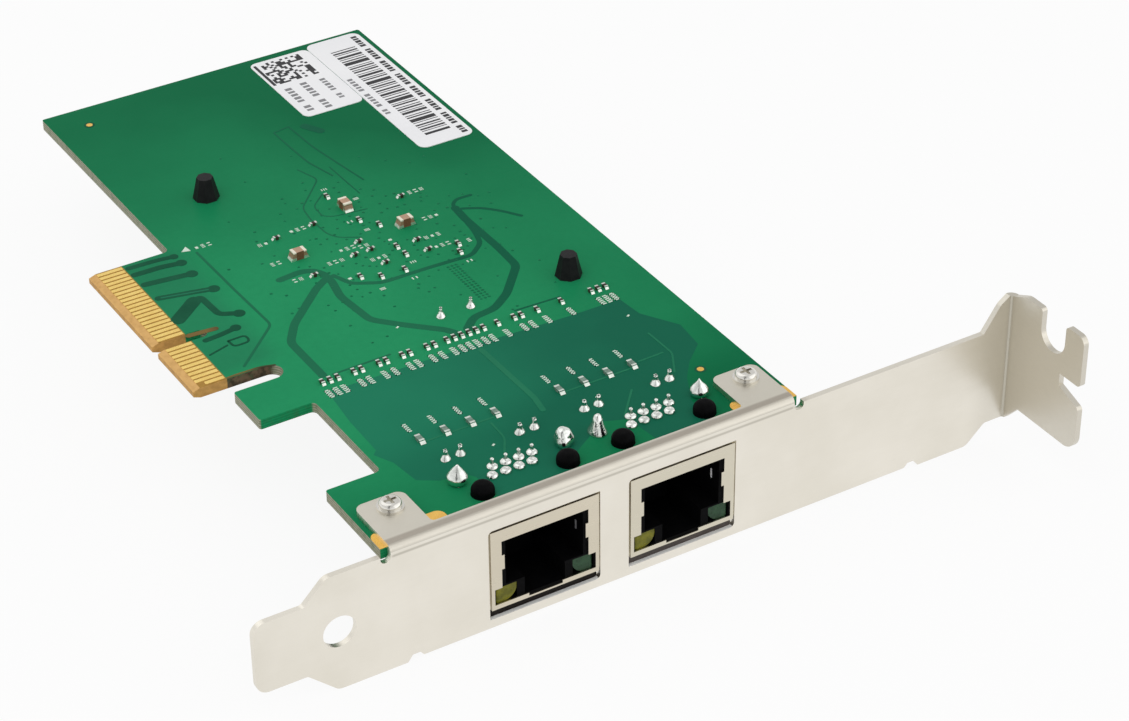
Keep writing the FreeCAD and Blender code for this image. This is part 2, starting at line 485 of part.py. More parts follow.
for name, side in (("yellow", -1), ("green", 1)):
    lamps, leads = [], []
    for centre in JACK_X:
        x0, x1 = lamp_span(centre, side)
        lamp_front = JACK_FRONT_Y + SHIELD_T + LAMP_RECESS
        lamp = box(x0, x1, lamp_front, LAMP_BACK_Y, LAMP_Z0, LAMP_Z1)
        lamp = rounded(lamp, Y, [V(x0 if side > 0 else x1, 0, LAMP_Z0)], LAMP_CORNER_R)
        lamps.append(rounded(lamp, Z, [V(x0 if side < 0 else x1, lamp_front, 0)], LAMP_LENS_R))
        for x, _ in lamp_pin_spots(centre, (side,)):
            h = PIN_W / 2
            mid = (LAMP_Z0 + LAMP_Z1) / 2
            path = [(LAMP_BACK_Y, mid - h), (LAMP_PIN_Y + h, mid - h), (LAMP_PIN_Y + h, PIN_TOP),
                    (LAMP_PIN_Y - h, PIN_TOP), (LAMP_PIN_Y - h, mid + h), (LAMP_BACK_Y, mid + h)]
            leads.append(section(path, x - h, x + h))
    save(name + "_lamps", lamps)
    save(name + "_lamp_leads", leads)


# ---------------------------------------------------------------- solder joints on the solder side
def turned(x, y, arcs):
    """Solid of revolution on the board; arcs are (start, middle, end) in radius and height."""
    edges = [Part.Arc(*(V(x + r, y, z) for r, z in arc)).toShape() for arc in arcs]
    foot, top = arcs[0][0], arcs[-1][-1]
    rim = [V(x + top[0], y, top[1]), V(x, y, top[1]), V(x, y, foot[1]), V(x + foot[0], y, foot[1])]
    edges += [Part.makeLine(a, b) for a, b in zip(rim, rim[1:])]
    return Part.Face(Part.Wire(edges)).revolve(V(x, y, 0), Z, 360)


def joint(wall, bead, pin):
    """Plated hole's plug below a bead of solder, bored by the pin it holds."""
    return wall.fuse(bead).removeSplitter().cut(pin)


def button(x, y, r0, r1, height):
    """Low rounded bead round a pin."""
    return turned(x, y, [((r0, 0), (r1 + (r0 - r1) * 0.62, height * 0.72), (r1, height))])


def teardrop(x, y):
    """Tall bead that bulges over the slot and runs to a peak."""
    belly, waist = SHIELD_JOINT_H * 0.22, SHIELD_JOINT_H * 0.58
    return turned(x, y, [
        ((SHIELD_JOINT_R, 0), (SHIELD_JOINT_BELLY_R, belly), (SHIELD_JOINT_WAIST_R, waist)),
        ((SHIELD_JOINT_WAIST_R, waist),
         (SHIELD_JOINT_WAIST_R * 0.48, (waist + SHIELD_JOINT_H) / 2),
         (SHIELD_JOINT_TOP_R, SHIELD_JOINT_H))])


signal_joints, shield_joints = [], []
for centre in JACK_X:
    h = PIN_W / 2
    for x, y in pin_spots(centre) + lamp_pin_spots(centre):
        signal_joints.append(joint(rod(x, y, UNDER, 0, HOLE_R),
                                   button(x, y, JOINT_R, JOINT_TOP_R, JOINT_H),
                                   box(x - h, x + h, y - h, y + h, UNDER, PIN_TOP)))
    for x, y in shield_tab_spots(centre):
        fill = box(x - SHIELD_SLOT_W / 2, x + SHIELD_SLOT_W / 2, y - SHIELD_SLOT_L / 2,
                   y + SHIELD_SLOT_L / 2, UNDER, 0)
        shield_joints.append(joint(fill, teardrop(x, y),
                                   box(x - SHIELD_T / 2, x + SHIELD_T / 2, y - SHIELD_TAB_W / 2,
                                       y + SHIELD_TAB_W / 2, UNDER, SHIELD_TAB_TOP)))
crystal_joints = [joint(rod(x, y, UNDER, 0, HOLE_R),
                        taper(x, y, 0, CRYSTAL_JOINT_H, CRYSTAL_JOINT_R, CRYSTAL_JOINT_TOP_R),
                        rod(x, y, UNDER, CRYSTAL_PIN_TOP, CRYSTAL_PIN_R))
                  for x, y in crystal_pin_spots]
save("signal_solder_joints", signal_joints)
save("shield_solder_joints", shield_joints)
save("crystal_solder_joints", crystal_joints)

# ---------------------------------------------------------------- controller under its finned sink
pad_z = UNDER - CHIP_LIFT - CHIP_T
sink_z1 = pad_z - THERMAL_PAD_T
half = CHIP_W / 2
substrate = box(SINK_X - half, SINK_X + half, SINK_Y - half, SINK_Y + half,
                UNDER - CHIP_LIFT - CHIP_BASE_T, UNDER - CHIP_LIFT)
cap_half = CHIP_CAP_W / 2
cap = plan([(SINK_X - cap_half, SINK_Y - cap_half), (SINK_X + cap_half, SINK_Y - cap_half),
            (SINK_X + cap_half, SINK_Y + cap_half), (SINK_X - cap_half, SINK_Y + cap_half)],
           pad_z, UNDER - CHIP_LIFT - CHIP_BASE_T)
cap = cap.makeChamfer(0.45, [e for e in cap.Edges if abs(e.BoundBox.ZMax - pad_z) < 0.01])
save("controller_chip", [one([substrate, cap])])
ball_start = (BALLS - 1) / 2
save("controller_solder_balls",
     [rod(SINK_X + (i - ball_start) * BALL_PITCH, SINK_Y + (j - ball_start) * BALL_PITCH,
          UNDER - CHIP_LIFT, UNDER, BALL_R) for i in range(BALLS) for j in range(BALLS)])
pad_half = cap_half - 0.9
save("thermal_pad", [box(SINK_X - pad_half, SINK_X + pad_half, SINK_Y - pad_half,
                         SINK_Y + pad_half, sink_z1, pad_z)])

base_z0 = sink_z1 - SINK_BASE_T
sink = [box(SINK_X - SINK_W / 2, SINK_X + SINK_W / 2, SINK_Y - SINK_L / 2, SINK_Y + SINK_L / 2,
            base_z0, sink_z1)]
for x, y in push_pin_spots:
    inward = -1 if y > SINK_Y else 1
    edge_y = SINK_Y - inward * SINK_L / 2
    y0, y1 = sorted((y, edge_y + inward * 2))
    sink.append(box(x - SINK_EAR_R, x + SINK_EAR_R, y0, y1, sink_z1 - SINK_EAR_T, sink_z1))
    sink.append(rod(x, y, sink_z1 - SINK_EAR_T, sink_z1, SINK_EAR_R))
fin_step = (SINK_W - SINK_FIN_T) / (SINK_FINS - 1)
for i in range(SINK_FINS):
    x0 = SINK_X - SINK_W / 2 + i * fin_step
    sink.append(box(x0, x0 + SINK_FIN_T, SINK_Y - SINK_L / 2, SINK_Y + SINK_L / 2,
                    base_z0 - SINK_FIN_H, base_z0))
sink = one(sink)
for x, y in push_pin_spots:
    sink = sink.cut([rod(x, y, base_z0, sink_z1, SINK_HOLE_R),
                     rod(x, y, base_z0 - SINK_FIN_H, base_z0, PUSH_HEAD_R + 0.3)])
save("heatsink", [sink])

# sprung push pins: head, shaft and an eight-sided barb that grips the solder side
ear_z0 = sink_z1 - SINK_EAR_T
head_z1 = ear_z0 - SPRING_LENGTH


def octagon(x, y, z, r):
    points = [V(x + r * math.cos(math.radians(22.5 + 45 * i)),
                y + r * math.sin(math.radians(22.5 + 45 * i)), z) for i in range(8)]
    return Part.makePolygon(points + [points[0]])


def coil_spring(x, y, z0, z1):
    """Wire of hexagonal section, lofted in short straight runs along a helix from z0 to z1."""
    sections = []
    steps = int(SPRING_TURNS * SPRING_STEPS)
    for i in range(steps + 1):
        around = 2 * math.pi * i / SPRING_STEPS
        centre_z = z0 + SPRING_WIRE_R + (z1 - z0 - 2 * SPRING_WIRE_R) * i / steps
        ring = []
        for k in range(6):
            turn = math.pi * (k + 0.5) / 3
            r = SPRING_R + SPRING_WIRE_R * math.cos(turn)
            ring.append(V(x + r * math.cos(around), y + r * math.sin(around),
                          centre_z + SPRING_WIRE_R * math.sin(turn)))
        sections.append(Part.makePolygon(ring + [ring[0]]))
    return Part.makeLoft(sections, True, True)


push_pins, springs = [], []
for x, y in push_pin_spots:
    barb = Part.makeLoft([octagon(x, y, 0, PUSH_BARB_R), octagon(x, y, PUSH_BARB_H, PUSH_TIP_R)],
                         True)
    push_pins.append(one([rod(x, y, head_z1 - PUSH_HEAD_T, head_z1, PUSH_HEAD_R),
                          rod(x, y, head_z1, 0, PUSH_SHAFT_R), barb]))
    springs.append(coil_spring(x, y, head_z1, ear_z0))
save("push_pins", push_pins)
save("push_pin_springs", springs)


# ---------------------------------------------------------------- parts with leads, component side
def gull_wing(x, y, side, along, wide, body_half, rise, foot):
    """One lead from a body's side wall down to the board; side is the direction it leaves in."""
    s, t = side, 0.22
    profile = [(0, rise), (0.55, rise), (0.75, t), (0.75 + foot, t), (0.75 + foot, 0), (0.55, 0),
               (0.40, rise - t), (0, rise - t)]
    if along == "x":
        return section([(y + s * (body_half + u), UNDER - w) for u, w in profile],
                       x - wide / 2, x + wide / 2)
    return elevation([(x + s * (body_half + u), UNDER - w) for u, w in profile],
                     y - wide / 2, y + wide / 2)


def moulded(x, y, length, width, height, lift, draft):
    """Moulded body with its upper edges chamfered, standing lift clear of the board."""
    body = box(x - length / 2, x + length / 2, y - width / 2, y + width / 2,
               UNDER - lift - height, UNDER - lift)
    top = [e for e in body.Edges if abs(e.BoundBox.ZMax - (UNDER - lift - height)) < 0.01]
    return body.makeChamfer(draft, top)


core_bodies, core_leads = [], []
for centre in JACK_X:
    core_bodies.append(moulded(centre, CORE_Y, CORE_L, CORE_W, CORE_H, 0.3, 0.5))
    for i in range(CORE_LEADS):
        x = centre + (i - (CORE_LEADS - 1) / 2) * LEAD_PITCH
        for side in (-1, 1):
            core_leads.append(gull_wing(x, CORE_Y, side, "x", 0.45, CORE_W / 2, 2.0, 0.9))
save("line_transformers", core_bodies)
save("line_transformer_leads", core_leads)

save("memory_chips", [moulded(x, y, MEMORY_W, MEMORY_L, 1.4, 0.15, 0.25)
                      for x, y in MEMORY_SPOTS])
save("memory_chip_leads",
     [gull_wing(x, y + (i - 1.5) * LEAD_PITCH, side, "y", 0.42, MEMORY_W / 2, 0.9, 0.6)
      for x, y in MEMORY_SPOTS for side in (-1, 1) for i in range(4)])

save("voltage_regulators", [moulded(x, y, REGULATOR_W, REGULATOR_L, 1.6, 0.05, 0.3)
                            for x, y in REGULATOR_SPOTS])
regulator_leads = []
for x, y in REGULATOR_SPOTS:
    for i in (-1, 0, 1):
        regulator_leads.append(gull_wing(x, y + i * REGULATOR_PITCH, 1, "y", 0.7,
                                         REGULATOR_W / 2, 0.9, 0.8))
    regulator_leads.append(gull_wing(x, y, -1, "y", 3.0, REGULATOR_W / 2, 0.9, 0.8))
save("voltage_regulator_leads", regulator_leads)

inductors = []
for x, y in INDUCTOR_SPOTS:
    core = moulded(x, y, INDUCTOR_W, INDUCTOR_W, INDUCTOR_H, 0.0, 0.8)
    inductors.append(core.makeChamfer(1.2, edges_along(core, Z, [
        V(x + a * INDUCTOR_W / 2, y + b * INDUCTOR_W / 2, 0) for a in (-1, 1) for b in (-1, 1)])))
save("power_inductors", inductors)

can = box(CRYSTAL_X - CRYSTAL_L / 2, CRYSTAL_X + CRYSTAL_L / 2, CRYSTAL_Y - CRYSTAL_W / 2,
          CRYSTAL_Y + CRYSTAL_W / 2, UNDER - CRYSTAL_H, UNDER)
can = rounded(can, Z, [V(CRYSTAL_X + a * CRYSTAL_L / 2, CRYSTAL_Y + b * CRYSTAL_W / 2, 0)
                       for a in (-1, 1) for b in (-1, 1)], CRYSTAL_W / 2 - 0.01)
trim = CRYSTAL_RIM
upper = box(CRYSTAL_X - CRYSTAL_L / 2 + trim, CRYSTAL_X + CRYSTAL_L / 2 - trim,
            CRYSTAL_Y - CRYSTAL_W / 2 + trim, CRYSTAL_Y + CRYSTAL_W / 2 - trim,
            UNDER - CRYSTAL_H, UNDER)
upper = rounded(upper, Z, [V(CRYSTAL_X + a * (CRYSTAL_L / 2 - trim),
                             CRYSTAL_Y + b * (CRYSTAL_W / 2 - trim), 0)
                           for a in (-1, 1) for b in (-1, 1)], CRYSTAL_W / 2 - trim - 0.01)
rim = can.common(box(CRYSTAL_X - CRYSTAL_L, CRYSTAL_X + CRYSTAL_L, CRYSTAL_Y - CRYSTAL_W,
                     CRYSTAL_Y + CRYSTAL_W, UNDER - CRYSTAL_RIM_H, UNDER))
crystal_pins = [rod(x, y, UNDER, CRYSTAL_PIN_TOP, CRYSTAL_PIN_R) for x, y in crystal_pin_spots]
save("crystal", [one([rim, upper] + crystal_pins)])


# ---------------------------------------------------------------- two-ended chip parts
def chip(x, y, along, length, width, height, end, fillet, under=False):
    """Ceramic body between two plated ends, each with a solder fillet against its pad."""
    surface, up = (UNDER, -1) if under else (0, 1)
    inner = length / 2 - end
    profile = [(inner, 0), (length / 2 + fillet, 0), (length / 2 + fillet, 0.06),
               (length / 2, 0.7 * height), (length / 2, height), (inner, height)]
    ends = []
    for side in (-1, 1):
        if along == "x":
            points = [(x + side * u, surface + up * w) for u, w in profile]
            ends.append(elevation(points, y - width / 2, y + width / 2))
        else:
            points = [(y + side * u, surface + up * w) for u, w in profile]
            ends.append(section(points, x - width / 2, x + width / 2))
    z0, z1 = sorted((surface, surface + up * height))
    dx, dy = (inner, width / 2) if along == "x" else (width / 2, inner)
    return box(x - dx, x + dx, y - dy, y + dy, z0, z1), ends


def save_chips(node, spots, size, under=False):
    made = [chip(x, y, along, *size, under) for x, y, along in spots]
    save(node + "_bodies", [body for body, _ in made])
    save(node + "_ends", [end for _, ends in made for end in ends])


SIZE_0402 = (1.05, 0.55, 0.50, 0.27, 0.24)
SIZE_0603 = (1.60, 0.80, 0.50, 0.35, 0.40)
SIZE_0805 = (2.10, 1.35, 1.35, 0.45, 0.42)
SIZE_CASE_D = (7.30, 4.30, 2.80, 0.90, 0.10)

DECOUPLERS_ALONG_Y = [(39.4, 23.3), (40.3, 14.8), (42.2, 12.1), (41.4, 5.3), (41.5, 2.8),
                      (39.4, -0.8), (33.0, 0.9), (35.6, -0.6), (49.4, 1.2), (48.5, -0.9)]
DECOUPLERS_ALONG_X = [(37.4, 9.4), (35.2, 6.5), (37.9, 6.6), (38.0, 2.3), (48.9, 17.4),
                      (44.9, 5.3), (45.0, 2.1), (27.6, 16.7), (34.0, 17.3), (27.6, 4.7)]
ROW_Y = -20.10
ROW_STARTS = (15.7, 20.6, 24.5, 28.2, 32.1, 35.3, 43.5, 46.2, 50.0, 54.0, 59.0)
ROW_COUNTS = (3, 2, 2, 2, 2, 6, 1, 2, 1, 1, 3)
ROW_PITCH = 1.18
TERMINATION_Y = -38.90
TERMINATION_X = (20.4, 24.3, 28.2, 32.1, 42.2, 46.1, 50.0, 53.9)
CERAMIC_SPOTS = [(40.3, 19.1, "y"), (45.6, 10.2, "x"), (28.0, 10.5, "x")]

small_spots = [(x, y, "y") for x, y in DECOUPLERS_ALONG_Y]
small_spots += [(x, y, "x") for x, y in DECOUPLERS_ALONG_X]
small_spots += [(x0 + ROW_PITCH * i, ROW_Y, "y")
                for x0, count in zip(ROW_STARTS, ROW_COUNTS) for i in range(count)]
save_chips("small_chips", small_spots, SIZE_0402)
save_chips("termination_resistors", [(x, TERMINATION_Y, "y") for x in TERMINATION_X], SIZE_0603)
save_chips("ceramic_capacitors", CERAMIC_SPOTS, SIZE_0805)

UNDER_ROW_X, UNDER_ROW_Y, UNDER_ROW_PITCH = 26.5, -23.0, 2.4
UNDER_COLUMNS = ((20.5, 20.0), (62.5, -20.0))
UNDER_COLUMN_PITCH = 2.0
BULK_SPOTS = ((18.6, 12.5), (18.6, 5.5), (18.6, -1.5), (62.5, 42.0))
under_spots = [(UNDER_ROW_X + UNDER_ROW_PITCH * i, UNDER_ROW_Y, "y") for i in range(12)]
under_spots += [(x, y + UNDER_COLUMN_PITCH * i, "x") for x, y in UNDER_COLUMNS for i in range(4)]
save_chips("component_side_chips", under_spots, SIZE_0603, under=True)
save_chips("bulk_capacitors", [(x, y, "x") for x, y in BULK_SPOTS], SIZE_CASE_D, under=True)

# ---------------------------------------------------------------- two adhesive labels
for node, (x0, x1, y0, y1) in (("small_label", SMALL_LABEL), ("long_label", LONG_LABEL)):
    label = box(x0, x1, y0, y1, 0, LABEL_T)
    save(node, [rounded(label, Z, [V(x, y, 0) for x in (x0, x1) for y in (y0, y1)], LABEL_R)])
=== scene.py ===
import math
import random

import bmesh
import bpy
from mathutils import Matrix, Vector


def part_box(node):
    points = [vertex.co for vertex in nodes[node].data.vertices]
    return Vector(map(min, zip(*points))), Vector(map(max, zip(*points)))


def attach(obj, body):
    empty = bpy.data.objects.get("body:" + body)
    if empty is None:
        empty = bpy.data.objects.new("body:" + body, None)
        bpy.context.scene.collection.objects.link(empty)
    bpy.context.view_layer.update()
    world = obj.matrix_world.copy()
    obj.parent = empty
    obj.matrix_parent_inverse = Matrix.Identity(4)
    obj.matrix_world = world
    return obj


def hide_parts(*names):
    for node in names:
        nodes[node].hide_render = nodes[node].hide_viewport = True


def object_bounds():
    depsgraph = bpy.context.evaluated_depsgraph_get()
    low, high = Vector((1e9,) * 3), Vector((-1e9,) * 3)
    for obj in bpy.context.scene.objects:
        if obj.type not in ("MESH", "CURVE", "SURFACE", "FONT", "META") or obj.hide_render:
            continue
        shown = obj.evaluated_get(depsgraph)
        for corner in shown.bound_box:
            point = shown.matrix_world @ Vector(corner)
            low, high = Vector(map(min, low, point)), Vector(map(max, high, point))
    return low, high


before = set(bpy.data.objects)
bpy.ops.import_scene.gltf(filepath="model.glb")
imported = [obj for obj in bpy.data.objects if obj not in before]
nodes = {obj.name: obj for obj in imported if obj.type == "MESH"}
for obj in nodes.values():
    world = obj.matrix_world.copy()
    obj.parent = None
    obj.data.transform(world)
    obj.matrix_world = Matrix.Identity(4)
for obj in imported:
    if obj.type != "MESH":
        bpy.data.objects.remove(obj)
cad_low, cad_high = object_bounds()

MM = 0.001
painted = {}                          # materials by name


def span(node):
    """Lowest and highest corner of a CAD node, in millimetres."""
    low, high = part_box(node)
    return low / MM, high / MM


BOARD_LOW, BOARD_HIGH = span("circuit_board")
SURFACE_Z, UNDER_Z = BOARD_HIGH.z, BOARD_LOW.z
GOLD_LOW, GOLD_HIGH = span("edge_contacts_solder_side")
SHIELD_LOW, SHIELD_HIGH = span("left_jack_shield")
SHELL_FLOOR_Z = SHIELD_LOW.z + 1.30   # the grounding flap hangs below this height
JACKS = ("left", "right")
JACK_X = [sum(span(name + "_jack_housing")[i].x for i in (0, 1)) / 2 for name in JACKS]
PRINT_T = 0.022                       # thickness of printed ink, mm
FIELD_T = 0.006                       # thickness of one layer of mask, mm


# -------- shader building
class Graph:
    """Adds nodes to one tree; most of its methods give an output socket."""

    def __init__(self, tree):
        self.tree = tree

    def put(self, socket, value):
        if isinstance(value, bpy.types.NodeSocket):
            self.tree.links.new(value, socket)
        elif isinstance(value, tuple) and len(value) == 3:
            socket.default_value = (*value, 1) if len(socket.default_value) == 4 else value
        else:
            socket.default_value = value

    def add(self, kind, inputs=None, **settings):
        """A new node with its settings, and numbers, colours or links for its inputs."""
        node = self.tree.nodes.new("ShaderNode" + kind)
        for name, value in settings.items():
            setattr(node, name, value)
        for name, value in (inputs or {}).items():
            self.put(node.inputs[name], value)
        return node

    def split(self, vector):
        return self.add("SeparateXYZ", {0: vector}).outputs

    def math(self, operation, a, b=0.0, clamp=False):
        return self.add("Math", {0: a, 1: b}, operation=operation, use_clamp=clamp).outputs[0]

    def ramp(self, value, low, high, out_low=0.0, out_high=1.0, kind="SMOOTHSTEP"):
        """A step of value, from out_low at low to out_high at high."""
        return self.add("MapRange", {"Value": value, "From Min": low, "From Max": high,
                                     "To Min": out_low, "To Max": out_high},
                        interpolation_type=kind).outputs[0]


class Paint(Graph):
    """A material on Principled BSDF, with coordinates in millimetres of the row frame."""

    def __init__(self, name):
        self.material = painted[name] = bpy.data.materials.new(name)
        self.material.use_nodes = True
        super().__init__(self.material.node_tree)
        self.bsdf = self.tree.nodes["Principled BSDF"]
        metres = self.add("TexCoord").outputs["Object"]
        self.place = self.add("VectorMath", {0: metres, "Scale": 1 / MM},
                              operation="SCALE").outputs[0]
        self.x, self.y, self.z = self.split(self.place)

    def set(self, **values):
        for name, value in values.items():
            self.put(self.bsdf.inputs[name.replace("_", " ")], value)

    def noise(self, scale, detail=2.0, roughness=0.5, factors=None):
        """Fractal noise from 0 to 1; scale is in cells per millimetre."""
        place = self.place
        if factors:
            place = self.add("VectorMath", {0: place, 1: factors}, operation="MULTIPLY").outputs[0]
        return self.add("TexNoise", {"Vector": place, "Scale": scale, "Detail": detail,
                                     "Roughness": roughness}).outputs[0]

    def cells(self, scale):
        """Distance to the nearest of scattered points; scale is in cells per millimetre."""
        return self.add("TexVoronoi", {"Vector": self.place, "Scale": scale}).outputs["Distance"]

    def mix(self, factor, a, b):
        return self.add("Mix", {"Factor": factor, 6: a, 7: b}, data_type="RGBA").outputs[2]

    def tint(self, shade, factor, share, colour):
        """The shade, with this share of a colour where the factor is 1."""
        return self.mix(self.math("MULTIPLY", factor, share), shade, colour)

    def bump(self, height, distance):
        """Bump from a height of 0 to 1; distance is in millimetres."""
        node = self.add("Bump", {"Distance": distance * MM, "Strength": 1.0, "Height": height})
        self.set(Normal=node.outputs[0])

    def normal(self):
        """The x, y and z parts of the surface's own normal."""
        return self.split(self.add("NewGeometry").outputs["True Normal"])

    def size(self, value):
        return self.math("ABSOLUTE", value)

    def within(self, socket, low, high, soft=0.05):
        """1 between two places and 0 outside them."""
        rise = self.ramp(socket, low - soft, low + soft)
        fall = self.ramp(socket, high - soft, high + soft, 1.0, 0.0)
        return self.math("MULTIPLY", rise, fall)

    def both(self, *factors):
        """The product of all factors."""
        product = factors[0]
        for factor in factors[1:]:
            product = self.math("MULTIPLY", product, factor)
        return product


# -------- materials
MASK_BRIGHT, MASK_DEEP = (0.018, 0.292, 0.118), (0.002, 0.142, 0.054)
MASK_SPECULAR, MASK_ROUGH = 0.03, 0.36
TONGUE_X = GOLD_HIGH.x + 0.15         # end of the contacts' bare laminate
FOLD_X = (3.0, 70.0)                  # ends of the bracket's flange
FOLD_Y = -57.0                        # the flange meets its rounding
BEND_X = 103.6                        # the plate meets the bend into the screw tab
SILL_Z = -16.6                        # tops of the cutouts' lower walls


def plain(name, colour, other, rough, metal, scale, grain, bump, specular=0.5, factors=None):
    """Two tones, with fine grain in roughness and bump."""
    p = Paint(name)
    cloud = p.noise(scale, 4.0, 0.6, factors)
    fine = p.noise(scale * 9, 2.0, 0.6, factors)
    p.set(Base_Color=p.mix(p.ramp(cloud, 0.3, 0.7), colour, other), Metallic=metal,
          Roughness=p.ramp(fine, 0.2, 0.8, rough * (1 - grain), rough * (1 + grain)),
          Specular_IOR_Level=specular)
    p.bump(fine, bump)


def board():
    """Solder mask over copper, bare laminate round the contacts, and the sawn edge."""
    p = Paint("solder_mask_over_laminate")
    cloud = p.noise(0.035, 3.0, 0.55)
    mottle = p.noise(0.9, 4.0, 0.6)
    # painted light and shade: the mask is lightest near the middle left and darker towards the far
    # end, the right and the jacks, with a little random cloud
    painted_falloff = p.math("ADD", p.ramp(p.y, -8.0, 66.0, 0.0, 0.90), p.ramp(p.x, 30.0, 68.0, 0.0, 0.52))
    painted_falloff = p.math("ADD", painted_falloff, p.ramp(p.y, -28.0, -54.0, 0.0, 0.62))
    painted_falloff = p.math("ADD", painted_falloff, p.ramp(cloud, 0.3, 0.7, -0.10, 0.10), clamp=True)
    green = p.mix(painted_falloff, MASK_BRIGHT, MASK_DEEP)
    green = p.mix(p.ramp(mottle, 0.2, 0.9, 0.0, 0.16), green, MASK_DEEP)
    behind = p.both(p.within(p.x, 3.0, 13.5, 2.5), p.within(p.y, -11.0, 22.5, 2.0))
    green = p.tint(green, behind, 0.30, (0.018, 0.105, 0.070))
    # bare laminate between the edge contacts, and on the tongue's chamfer
    tongue = p.both(p.within(p.x, -1.0, TONGUE_X, 0.08),
                    p.within(p.y, GOLD_LOW.y - 1.0, GOLD_HIGH.y + 1.0))
    amber = p.mix(p.ramp(mottle, 0.3, 0.7), (0.46, 0.26, 0.065), (0.36, 0.20, 0.045))
    chamfer = p.mix(p.ramp(mottle, 0.35, 0.75), (0.74, 0.45, 0.17), (0.62, 0.36, 0.13))
    amber = p.mix(p.ramp(p.x, GOLD_LOW.x - 0.05, GOLD_LOW.x + 0.05, 1.0, 0.0), amber, chamfer)
    top = p.mix(tongue, green, amber)
    # sawn edge: pale glass on the tongue's side, stained green elsewhere with its tone raised as
    # painted light on walls in shade, brown in the notch
    nx, _, nz = p.normal()
    layer = p.math("SINE", p.math("MULTIPLY", p.z, 15.0))
    pale = p.mix(p.ramp(layer, -0.6, 0.9), (0.38, 0.37, 0.28), (0.22, 0.23, 0.15))
    stained_and_lit = p.mix(p.ramp(layer, -0.4, 0.9), (0.014, 0.290, 0.112), (0.010, 0.220, 0.085))
    notch = p.both(p.within(p.x, 4.0, 14.6, 0.5), p.within(p.y, -17.5, -9.0, 0.3))
    brown = p.mix(p.ramp(mottle, 0.35, 0.65), (0.17, 0.12, 0.075), (0.055, 0.045, 0.028))
    stained_and_lit = p.mix(notch, stained_and_lit, brown)
    edge = p.mix(p.ramp(nx, -0.75, -0.35), pale, stained_and_lit)
    edge = p.mix(p.ramp(p.noise(1.3, 3.0), 0.45, 0.75, 0.0, 0.4), edge, (0.05, 0.14, 0.06))
    honey = p.mix(p.ramp(mottle, 0.3, 0.7), (0.66, 0.38, 0.12), (0.50, 0.28, 0.09))
    edge = p.mix(tongue, edge, honey)
    p.set(Base_Color=p.mix(p.ramp(p.size(nz), 0.4, 0.8), edge, top),
          Roughness=p.ramp(p.noise(3.0, 3.0), 0.2, 0.8, 0.30, 0.42),
          Specular_IOR_Level=MASK_SPECULAR)
    weave = p.math("ADD", p.noise(0.8, 2.0, 0.5, (1.0, 3.0, 1.0)),
                   p.noise(0.8, 2.0, 0.5, (3.0, 1.0, 1.0)))
    p.bump(weave, 0.006)


def mask(name, colour, other, turn=None):
    """Solder mask over a change of copper; with turn, colour fades to other along X and towards
    the jacks; on the green masks this fade is painted shade, following the board's.
    """
    p = Paint(name)
    grain = p.noise(1.4, 4.0, 0.6)
    if turn:
        # painted shade: darker towards the jacks, with a little random cloud
        near_jacks_shade = p.math("ADD", p.ramp(p.y, -34.0, -47.0, 0.0, 0.55),
                      p.ramp(p.noise(0.06, 3.0), 0.3, 0.7, -0.12, 0.12))
        fade = p.math("ADD", p.ramp(p.x, *turn), near_jacks_shade, clamp=True)
    else:
        cloud = p.math("ADD", p.noise(0.12, 3.0), p.math("MULTIPLY", grain, 0.3))
        fade = p.ramp(cloud, 0.45, 0.85)
    p.set(Base_Color=p.mix(fade, colour, other),
          Roughness=p.ramp(grain, 0.2, 0.8, MASK_ROUGH * 0.85, MASK_ROUGH * 1.15),
          Specular_IOR_Level=MASK_SPECULAR)
    p.bump(p.noise(2.0, 2.0), 0.005)


def steel(name, colour, other, rough, worn=0.12):
    """Plated sheet: cloudy sheen, fine rolling lines along X and a few handling marks."""
    p = Paint(name)
    cloud = p.noise(0.05, 4.0, 0.6)
    lines = p.noise(1.1, 3.0, 0.7, (0.12, 1.0, 2.4))
    marks = p.noise(0.35, 5.0, 0.75, (0.6, 1.0, 1.8))
    shade = p.mix(p.ramp(cloud, 0.3, 0.7), colour, other)
    shade = p.mix(p.ramp(marks, 0.66, 0.78, 0.0, worn), shade, tuple(c * 0.75 for c in other))
    p.set(Base_Color=shade, Metallic=1.0,
          Roughness=p.math("ADD", p.ramp(lines, 0.25, 0.75, rough * 0.85, rough * 1.15),
                           p.ramp(marks, 0.6, 0.8, 0.0, 0.10)))
    p.bump(p.math("ADD", lines, p.ramp(p.cells(0.9), 0.0, 0.12, -0.8, 0.0)), 0.006)
    return p, shade


